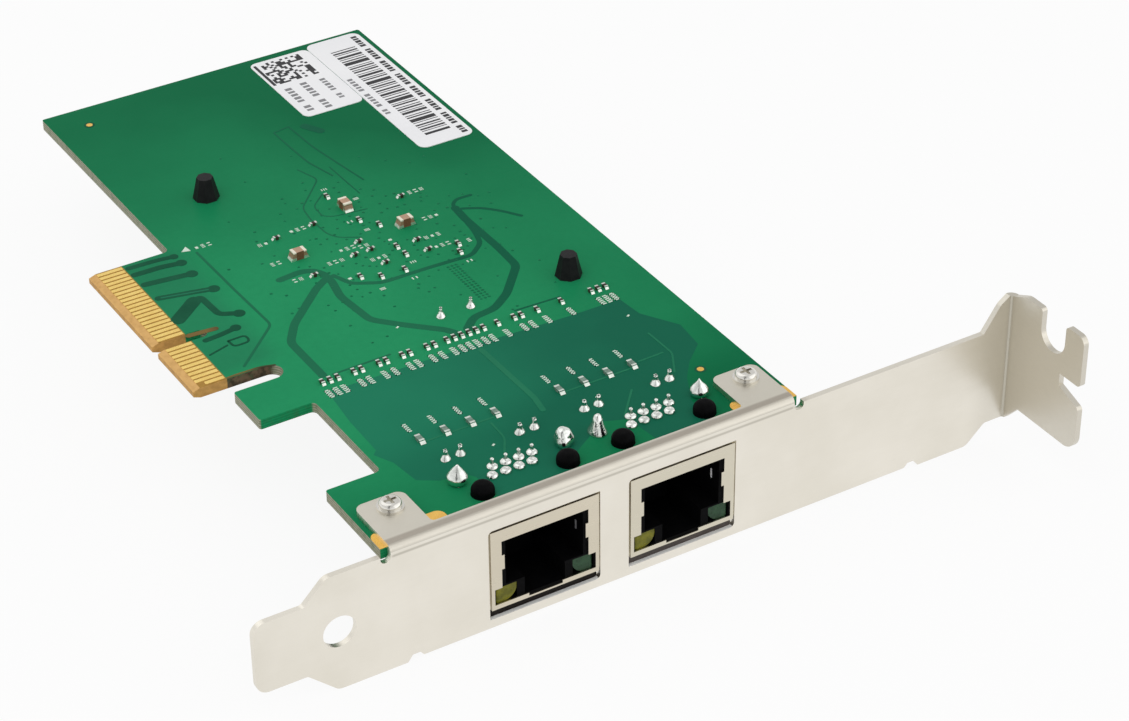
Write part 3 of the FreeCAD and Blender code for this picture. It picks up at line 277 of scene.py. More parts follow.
def bracket():
    p, shade = steel("nickel_plated_steel", (0.845, 0.805, 0.720), (0.785, 0.745, 0.655), 0.36,
                     0.20)
    nx, ny, nz = p.normal()
    # painted shade along the crease of the fold, just below the flange, and rubbed specks towards
    # the tab
    crease_shade = p.both(p.ramp(ny, -0.85, -0.95), p.within(p.z, -0.86, -0.50, 0.16),
                    p.within(p.x, 5.4, 67.5, 0.3))
    shade = p.tint(shade, crease_shade, 0.55, (0.36, 0.33, 0.27))
    specks = p.both(p.ramp(p.noise(1.3, 3.0, 0.7, (0.7, 1.0, 2.2)), 0.70, 0.74),
                    p.within(p.x, 76.0, 99.0, 4.0), p.within(p.z, -12.0, -2.5, 1.5))
    shade = p.tint(shade, specks, 0.5, (0.92, 0.91, 0.87))
    # painted shade on the upward faces: darker on the ears, and most on the flat of the fold
    upward = p.ramp(nz, 0.7, 0.9)
    ears_shade = p.both(upward, p.ramp(p.z, -0.5, 0.0))
    shade = p.tint(shade, ears_shade, 0.45, (0.53, 0.50, 0.42))
    fold_shade = p.both(ears_shade, p.ramp(p.y, FOLD_Y + 0.5, FOLD_Y), p.within(p.x, *FOLD_X, 0.5))
    shade = p.tint(shade, fold_shade, 0.80, (0.40, 0.355, 0.30))
    # painted shade over the highlight along the fold's rounding
    rounding_shade = p.both(p.within(p.z, -0.42, 0.92, 0.05), p.ramp(p.y, FOLD_Y + 0.1, FOLD_Y - 0.1),
                      p.within(p.x, *FOLD_X, 0.5), p.ramp(nz, 0.97, 0.90), p.ramp(nz, 0.05, 0.2))
    shade = p.tint(shade, rounding_shade, 0.75, (0.60, 0.565, 0.49))
    # painted shade: the plate darkens towards the bend, the tab beyond it is darker, and the
    # bend's inner rounding is darkened over its bright reflection
    bend_shade = p.both(p.ramp(p.size(nx), 0.10, 0.25), p.ramp(p.size(ny), 0.10, 0.25),
                  p.ramp(p.x, BEND_X - 0.8, BEND_X - 0.6))
    shade = p.mix(p.ramp(p.x, BEND_X - 6.6, BEND_X, 0.0, 0.32), shade, (0.55, 0.52, 0.45))
    shade = p.mix(p.ramp(p.x, BEND_X, BEND_X + 0.7, 0.0, 0.45), shade, (0.58, 0.545, 0.47))
    shade = p.mix(bend_shade, shade, (0.50, 0.47, 0.395))
    # sheared lower walls of the two cutouts are matt, and painted near white as a painted
    # highlight
    sill = p.both(upward, p.ramp(p.z, SILL_Z, SILL_Z - 0.3), p.within(p.x, 10.0, 60.0))
    shade = p.mix(sill, shade, (0.95, 0.95, 0.93))
    p.set(Base_Color=shade, Metallic=p.math("SUBTRACT", 1.0, sill))


def jack_shell():
    p, shade = steel("jack_shell_tin", (0.680, 0.620, 0.500), (0.630, 0.575, 0.460), 0.30)
    middle = sum(JACK_X) / 2
    shade = p.mix(p.ramp(p.x, middle - 1, middle + 1, 0.0, 0.5), shade, (0.66, 0.63, 0.52))
    # the grounding flap below each shell lies in shade, and is browner on the right jack
    flap = p.ramp(p.z, SHELL_FLOOR_Z + 0.02, SHELL_FLOOR_Z - 0.10)
    dark = p.mix(p.ramp(p.x, middle - 1, middle + 1), (0.006, 0.005, 0.004), (0.085, 0.070, 0.062))
    p.set(Base_Color=p.mix(flap, shade, dark), Metallic=p.ramp(flap, 0.0, 1.0, 1.0, 0.0),
          Specular_IOR_Level=0.2)


def golden(name, colour, other, rough):
    p = Paint(name)
    p.set(Base_Color=p.mix(p.ramp(p.noise(0.5, 4.0, 0.6), 0.3, 0.7), colour, other), Metallic=1.0,
          Roughness=p.ramp(p.noise(4.0, 3.0), 0.2, 0.8, rough * 0.75, rough * 1.3))
    p.bump(p.noise(3.0, 3.0, 0.6, (0.3, 2.0, 1.0)), 0.006)


def solder():
    p = Paint("reflowed_solder")
    cloud = p.noise(1.2, 4.0, 0.6)
    # the slight green in both tones is a painted reflection of the board
    p.set(Base_Color=p.mix(p.ramp(cloud, 0.35, 0.7), (0.88, 0.90, 0.86), (0.66, 0.69, 0.65)),
          Metallic=1.0, Roughness=p.ramp(cloud, 0.3, 0.8, 0.10, 0.26))
    p.bump(p.noise(2.0, 3.0), 0.04)


def ceramic(name, side, other, top=None):
    """Fired ceramic, paler on its flat top where one is given, which is painted light."""
    p = Paint(name)
    speck = p.noise(4.0, 4.0, 0.7)
    shade = p.mix(p.ramp(speck, 0.35, 0.7), side, other)
    if top:
        shade = p.mix(p.ramp(p.size(p.normal()[2]), 0.6, 0.9), shade,
                      p.mix(p.ramp(speck, 0.3, 0.7), top, tuple(c * 0.8 for c in top)))
    p.set(Base_Color=shade, Roughness=p.ramp(speck, 0.2, 0.8, 0.38, 0.55), Specular_IOR_Level=0.3)
    p.bump(speck, 0.012)


def capacitor_end():
    """Fired end cap: cream on top, brown as painted shade in the fillet, bright at its foot with a
    green tint that is a painted reflection of the board.
    """
    p = Paint("fired_tin")
    speck = p.noise(2.5, 3.0, 0.6)
    foot = p.ramp(p.math("ADD", p.z, p.math("MULTIPLY", speck, 0.3)), 0.70, 0.45)
    shade = p.mix(p.ramp(p.z, 1.10, 1.22), (0.30, 0.19, 0.115), (0.86, 0.80, 0.66))
    p.set(Base_Color=p.mix(foot, shade, (0.74, 0.82, 0.72)),
          Metallic=p.ramp(foot, 0.0, 1.0, 0.0, 0.8),
          Roughness=p.ramp(speck, 0.2, 0.8, 0.28, 0.42), Specular_IOR_Level=0.3)
    p.bump(speck, 0.015)


def lens(name, colour, deep):
    p = Paint(name)
    p.set(Base_Color=p.mix(p.ramp(p.noise(0.9, 2.0), 0.3, 0.7), colour, deep),
          Roughness=p.ramp(p.noise(4.0), 0.2, 0.8, 0.24, 0.38), Specular_IOR_Level=0.2,
          Subsurface_Weight=0.2, Subsurface_Radius=(0.001, 0.001, 0.0005))
    p.bump(p.noise(2.0), 0.01)


def paper():
    p = Paint("label_paper")
    fibre = p.noise(6.0, 4.0, 0.7)
    tone = p.math("ADD", p.math("MULTIPLY", fibre, 0.3), p.noise(0.08, 2.0))
    p.set(Base_Color=p.mix(p.ramp(tone, 0.3, 1.0), (0.95, 0.95, 0.96), (0.90, 0.90, 0.92)),
          Roughness=p.ramp(fibre, 0.2, 0.8, 0.42, 0.52), Specular_IOR_Level=0.3)
    p.bump(fibre, 0.004)


# builder, material, colour, other tone and the rest of its arguments; for a plain one, roughness,
# metal, cells per mm, grain, bump in mm, specular and stretch
LOOKS = (
    (board,), (bracket,), (jack_shell,), (solder,), (capacitor_end,), (paper,),
    (mask, "mask_without_plane", (0.014, 0.200, 0.106), (0.007, 0.126, 0.070), (16.0, 62.0)),
    (mask, "mask_over_plane_gap", (0.014, 0.156, 0.076), (0.004, 0.108, 0.054), (30.0, 54.0)),
    (mask, "mask_over_trench", (0.011, 0.108, 0.054), (0.007, 0.084, 0.042)),
    (mask, "mask_over_trace", (0.020, 0.190, 0.098), (0.014, 0.165, 0.086)),
    (mask, "mask_over_via", (0.008, 0.175, 0.076), (0.006, 0.140, 0.060)),
    (mask, "mask_over_bare_laminate", (0.20, 0.13, 0.045), (0.055, 0.060, 0.030), (7.5, 11.0)),
    (steel, "screw_nickel", (0.82, 0.80, 0.75), (0.66, 0.64, 0.59), 0.22),
    (golden, "hard_gold", (1.0, 0.735, 0.235), (0.93, 0.655, 0.19), 0.30),
    (golden, "flash_gold", (0.96, 0.60, 0.15), (0.88, 0.52, 0.12), 0.32),
    (ceramic, "fired_ceramic", (0.20, 0.090, 0.045), (0.14, 0.060, 0.030), (0.52, 0.33, 0.22)),
    (ceramic, "small_ceramic", (0.022, 0.016, 0.011), (0.045, 0.030, 0.018)),
    (ceramic, "tan_ceramic", (0.42, 0.29, 0.16), (0.33, 0.21, 0.11)),
    (ceramic, "moulded_tantalum", (0.66, 0.42, 0.06), (0.56, 0.34, 0.05)),
    (lens, "yellow_lens", (0.21, 0.20, 0.014), (0.12, 0.12, 0.010)),
    (lens, "green_lens", (0.028, 0.080, 0.036), (0.018, 0.052, 0.024)),
    (plain, "lip_in_shade", (0.010, 0.008, 0.007), (0.018, 0.014, 0.012),
     0.4, 0.0, 0.6, 0.3, 0.01, 0.1),
    (plain, "lip_half_lit", (0.105, 0.088, 0.080), (0.075, 0.062, 0.056),
     0.4, 0.0, 0.2, 0.3, 0.01, 0.2, (1.0, 0.2, 3.0)),
    # tinned copper: its green tint is a painted reflection of the board
    (plain, "tinned_copper", (0.80, 0.85, 0.78), (0.66, 0.71, 0.65), 0.20, 1.0, 1.2, 0.3, 0.02),
    (plain, "jack_thermoplastic", (0.0018, 0.0018, 0.0020), (0.0032, 0.0032, 0.0036),
     0.55, 0.0, 1.2, 0.25, 0.015, 0.035),
    (plain, "nylon_black", (0.006, 0.006, 0.007), (0.010, 0.010, 0.011),
     0.42, 0.0, 1.0, 0.3, 0.02, 0.14),
    (plain, "moulded_epoxy", (0.022, 0.022, 0.023), (0.035, 0.034, 0.033),
     0.55, 0.0, 3.0, 0.25, 0.02),
    (plain, "resistor_glaze", (0.20, 0.30, 0.24), (0.11, 0.17, 0.13), 0.32, 0.0, 3.0, 0.3, 0.01),
    (plain, "ferrite_grey", (0.06, 0.06, 0.062), (0.10, 0.098, 0.095), 0.62, 0.0, 2.5, 0.2, 0.03),
    (plain, "thermal_rubber", (0.22, 0.23, 0.25), (0.28, 0.29, 0.30), 0.7, 0.0, 2.0, 0.2, 0.02),
    (plain, "spring_wire", (0.66, 0.65, 0.63), (0.50, 0.49, 0.47), 0.26, 1.0, 3.0, 0.4, 0.01),
    (plain, "extruded_aluminium", (0.70, 0.71, 0.72), (0.60, 0.61, 0.62),
     0.34, 1.0, 0.5, 0.4, 0.02, 0.5, (3.0, 0.15, 3.0)),
    (plain, "crystal_can", (0.74, 0.73, 0.70), (0.62, 0.61, 0.58), 0.26, 1.0, 1.0, 0.4, 0.02),
    (plain, "silkscreen_white", (0.74, 0.85, 0.74), (0.60, 0.73, 0.62),
     0.5, 0.0, 5.0, 0.2, 0.008, 0.2),
    (plain, "label_ink", (0.022, 0.022, 0.024), (0.045, 0.045, 0.048),
     0.5, 0.0, 6.0, 0.2, 0.004, 0.2),
    (plain, "label_ink_pale", (0.20, 0.20, 0.21), (0.30, 0.30, 0.31),
     0.5, 0.0, 6.0, 0.2, 0.004, 0.2),
)
for build, *look in LOOKS:
    build(*look)

NODE_MATERIALS = {
    "solder_mask_over_laminate": "circuit_board",
    "hard_gold": "edge_contacts_solder_side edge_contacts_component_side left_jack_contacts "
                 "right_jack_contacts",
    "flash_gold": "ground_pads",
    "nickel_plated_steel": "bracket",
    "screw_nickel": "bracket_screws bracket_nuts",
    "jack_shell_tin": "left_jack_shield right_jack_shield",
    "jack_thermoplastic": "left_jack_housing right_jack_housing",
    "yellow_lens": "yellow_lamps",
    "green_lens": "green_lamps",
    "tinned_copper": "yellow_lamp_leads green_lamp_leads line_transformer_leads memory_chip_leads "
                     "voltage_regulator_leads small_chips_ends termination_resistors_ends "
                     "component_side_chips_ends bulk_capacitors_ends",
    "reflowed_solder": "signal_solder_joints shield_solder_joints crystal_solder_joints "
                       "controller_solder_balls",
    "moulded_epoxy": "controller_chip line_transformers memory_chips voltage_regulators",
    "thermal_rubber": "thermal_pad",
    "extruded_aluminium": "heatsink",
    "nylon_black": "push_pins",
    "spring_wire": "push_pin_springs",
    "ferrite_grey": "power_inductors",
    "crystal_can": "crystal",
    "small_ceramic": "small_chips_bodies",
    "resistor_glaze": "termination_resistors_bodies",
    "fired_ceramic": "ceramic_capacitors_bodies",
    "fired_tin": "ceramic_capacitors_ends",
    "tan_ceramic": "component_side_chips_bodies",
    "moulded_tantalum": "bulk_capacitors_bodies",
    "label_paper": "small_label long_label",
}
for material, names in NODE_MATERIALS.items():
    for name in names.split():
        mesh = nodes[name].data
        mesh.materials.clear()
        mesh.materials.append(painted[material])

# widths of the broken edges on the carried-over pieces, in millimetres
BEVELS = {
    0.04: "circuit_board small_chips_bodies",
    0.05: "controller_chip bracket_screws",
    0.06: "left_jack_shield right_jack_shield small_chips_ends termination_resistors_ends",
    0.07: "bracket",
    0.08: "heatsink bulk_capacitors_ends",
    0.10: "ceramic_capacitors_ends line_transformers bulk_capacitors_bodies",
    0.12: "ceramic_capacitors_bodies",
    0.14: "push_pins",
    0.15: "power_inductors",
}
for width, names in BEVELS.items():
    for name in names.split():
        bevel = nodes[name].modifiers.new("edge", "BEVEL")
        bevel.width, bevel.segments, bevel.limit_method = width * MM, 2, "ANGLE"
        bevel.angle_limit, bevel.harden_normals = math.radians(40), True


# -------- mesh helpers, all in millimetres
def finish_mesh(name, bm, material, smooth=False):
    """A piece from the shape in bm, which it uses up."""
    bmesh.ops.recalc_face_normals(bm, faces=bm.faces)
    mesh = bpy.data.meshes.new(name)
    bm.to_mesh(mesh)
    bm.free()
    mesh.transform(Matrix.Scale(MM, 4))
    if smooth:
        mesh.shade_smooth()
    piece = bpy.data.objects.new(name, mesh)
    bpy.context.scene.collection.objects.link(piece)
    mesh.materials.append(painted[material])
    return piece


def tube(bm, loops):
    """Walls between each closed loop of vertices and the next."""
    for low, high in zip(loops, loops[1:]):
        for k in range(len(low)):
            j = (k + 1) % len(low)
            bm.faces.new((low[k], low[j], high[j], high[k]))


def skin(bm, loops):
    """Walls over a stack of loops, closed at both ends."""
    tube(bm, loops)
    bm.faces.new(list(reversed(loops[0])))
    bm.faces.new(loops[-1])


def prism(bm, outline, z0, z1):
    """Closed prism over a plan outline."""
    low, high = ([bm.verts.new((x, y, z)) for x, y in outline] for z in (z0, z1))
    bm.faces.new(list(reversed(low)))
    bm.faces.new(high)
    tube(bm, [low, high])


def box(bm, x0, x1, y0, y1, z0, z1):
    prism(bm, [(x0, y0), (x1, y0), (x1, y1), (x0, y1)], z0, z1)


def bar(bm, x, y, length, width, angle, z0, z1):
    """Flat bar centred at x, y, its length turned by angle degrees from +X."""
    c, s = math.cos(math.radians(angle)), math.sin(math.radians(angle))
    corners = [(-length / 2, -width / 2), (length / 2, -width / 2), (length / 2, width / 2),
               (-length / 2, width / 2)]
    prism(bm, [(x + u * c - v * s, y + u * s + v * c) for u, v in corners], z0, z1)


def rounded_path(points, radius, steps=5):
    """The path with each inner corner rounded by a quadratic arc."""
    path = [Vector(points[0])]
    for before, corner, after in zip(points, points[1:], points[2:]):
        corner = Vector(corner)
        back, on = Vector(before) - corner, Vector(after) - corner
        reach = min(radius, back.length * 0.45, on.length * 0.45)
        start, end = corner + back.normalized() * reach, corner + on.normalized() * reach
        for i in range(steps + 1):
            t = i / steps
            path.append(start * (1 - t) ** 2 + corner * 2 * t * (1 - t) + end * t ** 2)
    path.append(Vector(points[-1]))
    return path


def ribbon(bm, points, width, z0, z1, radius):
    """Flat strip of even width along a path, with round ends."""
    path = rounded_path(points, radius)
    left, right = [], []
    for i, point in enumerate(path):
        before = (point - path[i - 1]).normalized() if i else None
        after = (path[i + 1] - point).normalized() if i < len(path) - 1 else None
        run = ((before or after) + (after or before)).normalized()
        side = Vector((-run.y, run.x))
        stretch = 1 / max(0.5, (after or before).dot(run))
        left.append(point + side * width / 2 * stretch)
        right.append(point - side * width / 2 * stretch)

    def round_end(tip, inner):
        run = (tip - inner).normalized()
        start = math.atan2(run.y, run.x) + math.pi / 2
        turns = [start - math.pi * k / 6 for k in range(1, 6)]
        return [tip + Vector((math.cos(turn), math.sin(turn))) * width / 2 for turn in turns]

    outline = left + round_end(path[-1], path[-2]) + right[::-1] + round_end(path[0], path[1])
    prism(bm, [(p.x, p.y) for p in outline], z0, z1)


def circle(x, y, radius, sides):
    turns = [2 * math.pi * k / sides for k in range(sides)]
    return [(x + radius * math.cos(turn), y + radius * math.sin(turn)) for turn in turns]


def circles(bm, x, y, profile, sides):
    """Loops of vertices round a vertical axis; profile is radius and height."""
    return [[bm.verts.new((*point, z)) for point in circle(x, y, radius, sides)]
            for radius, z in profile]


def disc(bm, x, y, radius, z0, z1, sides):
    prism(bm, circle(x, y, radius, sides), z0, z1)


def ring(bm, x, y, outer, inner, z0, z1, sides):
    """Flat annulus with closed walls."""
    profile = ((outer, z0), (outer, z1), (inner, z1), (inner, z0))
    loops = circles(bm, x, y, profile, sides)
    tube(bm, loops + loops[:1])


def keep(piece):
    """Ride on the one body."""
    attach(piece, "root")
    return piece


def islands(node):
    """Centre and size, in plan, of each separate solid of a node."""
    bm = bmesh.new()
    bm.from_mesh(nodes[node].data)
    bmesh.ops.remove_doubles(bm, verts=bm.verts, dist=1e-7)
    bm.verts.ensure_lookup_table()
    seen, found = set(), []
    for start in bm.verts:
        if start.index in seen:
            continue
        stack, group = [start], []
        seen.add(start.index)
        while stack:
            vert = stack.pop()
            group.append(vert.co / MM)
            for edge in vert.link_edges:
                other = edge.other_vert(vert)
                if other.index not in seen:
                    seen.add(other.index)
                    stack.append(other)
        low = Vector(min(v[i] for v in group) for i in range(3))
        high = Vector(max(v[i] for v in group) for i in range(3))
        found.append(((low + high) / 2, high - low))
    bm.free()
    return found


# -------- colour fields under the mask
LAYER_STEP = 0.15                     # rise of each ribbon over the last, in layers


def layered(name, layers, material, base=2.0, radius=1.0):
    """One piece of mask ribbons and dots, each a little above the last."""
    bm = bmesh.new()
    for i, (path, width) in enumerate(layers):
        top = SURFACE_Z + FIELD_T * (base + LAYER_STEP * i)
        if len(path) == 1:
            disc(bm, *path[0], width, SURFACE_Z, top, 20)
        else:
            ribbon(bm, path, width, SURFACE_Z, top, radius)
    return keep(finish_mesh(name, bm, material))


OPEN_ZONE = [(15.4, -22.3), (14.6, -30.0), (14.4, -37.8), (13.6, -38.6), (15.0, -41.5),
             (15.6, -46.5), (18.3, -48.3), (21.4, -48.4), (22.6, -50.0), (23.0, -56.0),
             (34.4, -56.0), (34.6, -53.8), (38.2, -51.4), (43.4, -48.2), (46.6, -49.6),
             (47.4, -56.0), (55.8, -56.0), (56.2, -50.4), (58.8, -45.4), (61.2, -42.4),
             (64.6, -39.4), (65.2, -34.0), (61.9, -28.5), (61.5, -23.9), (53.2, -23.8),
             (42.1, -23.2), (32.6, -22.8), (23.8, -22.6)]
bm = bmesh.new()
prism(bm, OPEN_ZONE, SURFACE_Z, SURFACE_Z + FIELD_T)
keep(finish_mesh("open_zone", bm, "mask_without_plane"))

layered("plane_gaps", [
    ([(22.9, 6.5), (26.4, 6.9), (28.1, 6.2), (29.0, 4.6), (29.1, 2.4), (28.2, -2.0),
      (28.9, -9.6), (32.0, -13.0), (36.7, -17.6), (37.4, -18.9)], 1.25),
    ([(28.6, 3.2), (26.4, 1.8), (19.3, -4.9), (16.7, -8.8), (16.7, -18.4)], 1.25),
    ([(54.2, 10.4), (53.9, 6.9), (54.0, -2.6), (53.7, -8.3), (48.7, -14.0), (45.3, -16.4),
      (41.5, -16.9), (39.4, -18.9)], 1.30),
    ([(54.16, 10.36), (53.34, 3.3), (52.45, -0.15), (49.74, -2.39), (42.99, -2.03),
      (35.02, -1.96), (31.12, 0.23), (30.0, 3.41)], 0.80),
    ([(54.1, 9.2), (54.3, 11.4), (55.6, 12.5), (58.0, 12.4)], 0.60),
    ([(54.2, 10.1), (57.5, 8.3), (59.6, 6.0), (61.4, 3.2)], 0.60),
    ([(16.06, 19.64), (16.2, 7.9), (16.49, -3.24), (8.56, -10.62)], 0.42),
    ([(39.5, 32.9), (40.8, 28.8), (34.9, 22.5), (34.4, 18.7), (34.6, 14.1), (35.5, 12.3),
      (38.4, 10.6)], 0.24),
    ([(44.0, 31.0), (44.1, 25.9), (44.2, 21.8)], 0.22),
    ([(39.3, 24.5), (36.5, 22.0), (36.4, 18.8), (37.8, 17.9), (43.0, 17.2)], 0.20),
    ([(18.1, -18.9), (27.0, -18.8)], 0.35),
    ([(47.4, -18.5), (54.6, -18.8)], 0.35),
    ([(44.4, 45.4), (44.7, 38.0), (45.6, 31.5), (46.6, 25.0)], 0.30),
    ([(41.6, 44.9), (41.7, 39.0), (41.9, 34.0), (43.2, 28.5)], 0.30),
    ([(41.6, 44.9), (44.4, 45.4)], 0.30), ([(46.6, 44.2), (48.0, 41.6)], 1.5),
], "mask_over_plane_gap")

layered("contact_trenches", [
    ([(5.75, 21.0), (10.2, 20.8), (12.9, 20.4)], 0.95), ([(12.7, 20.4)], 0.70),
    ([(5.75, 18.9), (10.0, 18.8), (12.6, 18.3)], 1.15), ([(12.9, 18.3)], 0.85),
    ([(5.9, 15.76), (9.5, 15.3), (12.72, 14.84)], 1.20), ([(12.9, 14.8)], 0.92),
    ([(6.0, 11.4), (9.9, 10.5), (13.66, 9.56)], 1.15), ([(13.8, 9.5)], 0.92),
    ([(8.0, 7.2), (11.2, 8.64), (11.47, 3.1), (13.85, 1.89)], 1.05), ([(14.0, 1.8)], 0.92),
    ([(5.9, 4.8), (10.0, 8.1)], 2.20),
    ([(6.9, -2.0), (9.2, -1.8), (11.72, -1.38)], 0.95), ([(11.9, -1.3)], 0.80),
    ([(9.5, -3.8), (12.2, -3.7), (12.1, -5.45), (9.6, -5.5), (9.5, -3.9)], 0.35),
    ([(5.8, -5.6), (8.9, -4.7)], 0.32),
], "mask_over_trench", 4.0, 0.8)

layered("shallow_traces", [
    ([(6.4, 11.3), (13.0, 9.7)], 0.26),
    ([(20.4, -39.55), (32.3, -39.55)], 0.32), ([(42.2, -39.55), (54.4, -39.55)], 0.32),
    ([(38.3, -24.6), (38.5, -38.6), (38.0, -41.6)], 0.85),
    ([(30.5, -40.6), (30.3, -44.5), (28.3, -47.8)], 0.30),
    ([(55.2, -38.7), (59.2, -38.6)], 0.30), ([(50.7, -44.0), (46.5, -48.8)], 0.30),
    ([(60.2, -33.5), (60.3, -39.4), (58.0, -43.5)], 0.30),
], "mask_over_trace", 6.0, 0.8)

layered("unfilled_edges", [
    ([(5.4, 0.35), (8.4, 0.10), (9.4, 0.0)], 0.9),
    ([(5.3, -11.95), (6.6, -11.9), (10.4, -11.95), (12.3, -12.6)], 0.30),
], "mask_over_bare_laminate", 8.0)


# -------- printed marks
SILK_TOP = SURFACE_Z + FIELD_T * 8 + PRINT_T
ACROSS, SOLID = 2, 3                  # kinds of block; the others are level bars
BAR_COUNTS, BAR_SHARE = (3, 2, 3), 0.46
RUNG_T, RAIL_T = 0.20, 0.14


def block(bm, x, y, width, height, angle, kind, z0=SURFACE_Z, z1=SILK_TOP):
    """A printed block that spells nothing: parallel bars or a solid rectangle."""
    c, s = math.cos(math.radians(angle)), math.sin(math.radians(angle))
    if kind == SOLID:
        bar(bm, x, y, width * 0.80, height * 0.62, angle, z0, z1)
        return
    count = BAR_COUNTS[kind]
    across = kind == ACROSS
    reach, length = (width, height) if across else (height, width)
    stroke = BAR_SHARE * reach / count
    for i in range(count):
        u = (i - (count - 1) / 2) * (reach - stroke) / (count - 1)
        place = (u, 0) if across else (0, u)
        bar(bm, x + place[0] * c - place[1] * s, y + place[0] * s + place[1] * c, length, stroke,
            angle + (90 if across else 0), z0, z1)


def ladder(bm, x, y, width, length, kind):
    """A printed hatch of level bars, with a bar down one side or down both."""
    for i in range(5):
        bar(bm, x, y + (i - 2) * (length - RUNG_T) / 4, width, RUNG_T, 0, SURFACE_Z, SILK_TOP)
    for side in ((-1, 1), (-1,), (1,))[kind % 3]:
        bar(bm, x + side * (width - RAIL_T) / 2, y, length, RAIL_T, 90, SURFACE_Z, SILK_TOP)


def blocks(bm, x, y, count, angle, size=0.85, step=1.0, start=0, z0=SURFACE_Z, z1=SILK_TOP):
    """A row of blocks, each of the next kind."""
    c, s = math.cos(math.radians(angle)), math.sin(math.radians(angle))
    for i in range(count):
        u = (i - (count - 1) / 2) * step
        block(bm, x + u * c, y + u * s, size * 0.62, size, angle, (start + i) % 4, z0, z1)


ROW_Y, TERMINATION_Y = -22.9, -35.6
ROW_MARKS = (15.4, 16.6, 17.8, 20.4, 21.7, 24.1, 25.6, 28.0, 29.3, 31.6, 33.1, 35.0, 36.3, 37.5,
             38.7, 40.0, 41.2, 43.6, 46.3, 47.7, 50.1, 54.0, 59.0, 60.1, 61.2)
TERMINATION_MARKS = (20.3, 24.2, 28.1, 32.0, 42.1, 46.1, 49.8, 53.8)
# x, y, number of blocks, angle
MID_MARKS = ((40.1, 25.5, 1, 90), (39.0, 15.2, 1, 90), (40.1, 11.9, 1, 90), (35.1, 8.8, 3, 0),
             (32.0, 6.5, 3, 0), (37.5, 8.2, 2, 0), (37.8, 4.1, 3, 0), (41.6, 7.6, 1, 90),
             (41.5, 0.5, 1, 90), (39.6, -3.4, 1, 90), (34.3, -3.5, 1, 90), (31.6, 1.4, 1, 90),
             (51.6, 17.9, 3, 0), (49.8, 10.1, 3, 0), (47.4, 5.3, 3, 0), (47.4, 2.3, 3, 0),
             (51.4, 1.4, 1, 0), (48.6, -3.6, 1, 90), (25.2, 16.4, 2, 0), (31.4, 17.4, 3, 0),
             (24.4, 10.7, 2, 0), (25.1, 5.1, 2, 0), (42.9, 20.6, 1, 90), (17.6, 20.8, 3, 0))
SILK_DOTS = ((31.2, -13.4), (28.2, -45.1), (60.2, -28.2), (45.8, -42.9))

bm = bmesh.new()
for i, x in enumerate(ROW_MARKS):
    ladder(bm, x, ROW_Y, 0.78, 1.95, i)
for i, x in enumerate(TERMINATION_MARKS):
    ladder(bm, x, TERMINATION_Y, 0.62, 1.95, i + 1)
for i, (x, y, count, angle) in enumerate(MID_MARKS):
    blocks(bm, x, y, count, angle, start=i)
for x, y in SILK_DOTS:
    bar(bm, x, y, 0.45, 0.28, 30, SURFACE_Z, SILK_TOP)
prism(bm, [(14.2, 20.9), (15.5, 20.5), (15.3, 21.9)], SURFACE_Z, SILK_TOP)
keep(finish_mesh("silkscreen_marks", bm, "silkscreen_white"))

# component side: outlines round the larger parts and short marks beside the small ones
UNDER_INK = UNDER_Z - PRINT_T


def frame_line(bm, low, high, margin, stroke=0.16):
    """Four bars round a part, as far outside it as the margin."""
    x0, y0, x1, y1 = low.x - margin, low.y - margin, high.x + margin, high.y + margin
    for x in (x0, x1):
        bar(bm, x, (y0 + y1) / 2, y1 - y0 + stroke, stroke, 90, UNDER_INK, UNDER_Z)
    for y in (y0, y1):
        bar(bm, (x0 + x1) / 2, y, x1 - x0 - stroke, stroke, 0, UNDER_INK, UNDER_Z)


bm = bmesh.new()
for node, margin in (("controller_chip", 0.8), ("crystal", 0.6)):
    frame_line(bm, *span(node), margin)
for node, margin in (("line_transformers", 0.35), ("memory_chips", 0.3),
                     ("voltage_regulators", 0.3), ("power_inductors", 0.5),
                     ("bulk_capacitors_bodies", 1.4)):
    for centre, size in islands(node):
        frame_line(bm, centre - size / 2, centre + size / 2, margin)
for i, (centre, size) in enumerate(islands("component_side_chips_bodies")):
    dx, dy = (0, 2.1) if size.x < size.y else (2.6, 0)
    blocks(bm, centre.x + dx, centre.y + dy, 2, 0, 0.8, 0.9, i, UNDER_INK, UNDER_Z)
keep(finish_mesh("component_side_marks", bm, "silkscreen_white"))

# -------- plated details on the board
FIDUCIALS, FIDUCIAL_R, CLEARING_R = ((18.4, 62.5), (61.4, -44.8)), 0.5, 0.85
bm = bmesh.new()
for x, y in FIDUCIALS:
    disc(bm, x, y, FIDUCIAL_R, SURFACE_Z, SURFACE_Z + 0.035, 24)
keep(finish_mesh("fiducials", bm, "flash_gold"))
bm = bmesh.new()
for x, y in FIDUCIALS:
    ring(bm, x, y, CLEARING_R, FIDUCIAL_R, SURFACE_Z, SURFACE_Z + 0.012, 24)
keep(finish_mesh("fiducial_clearings", bm, "mask_over_trench"))

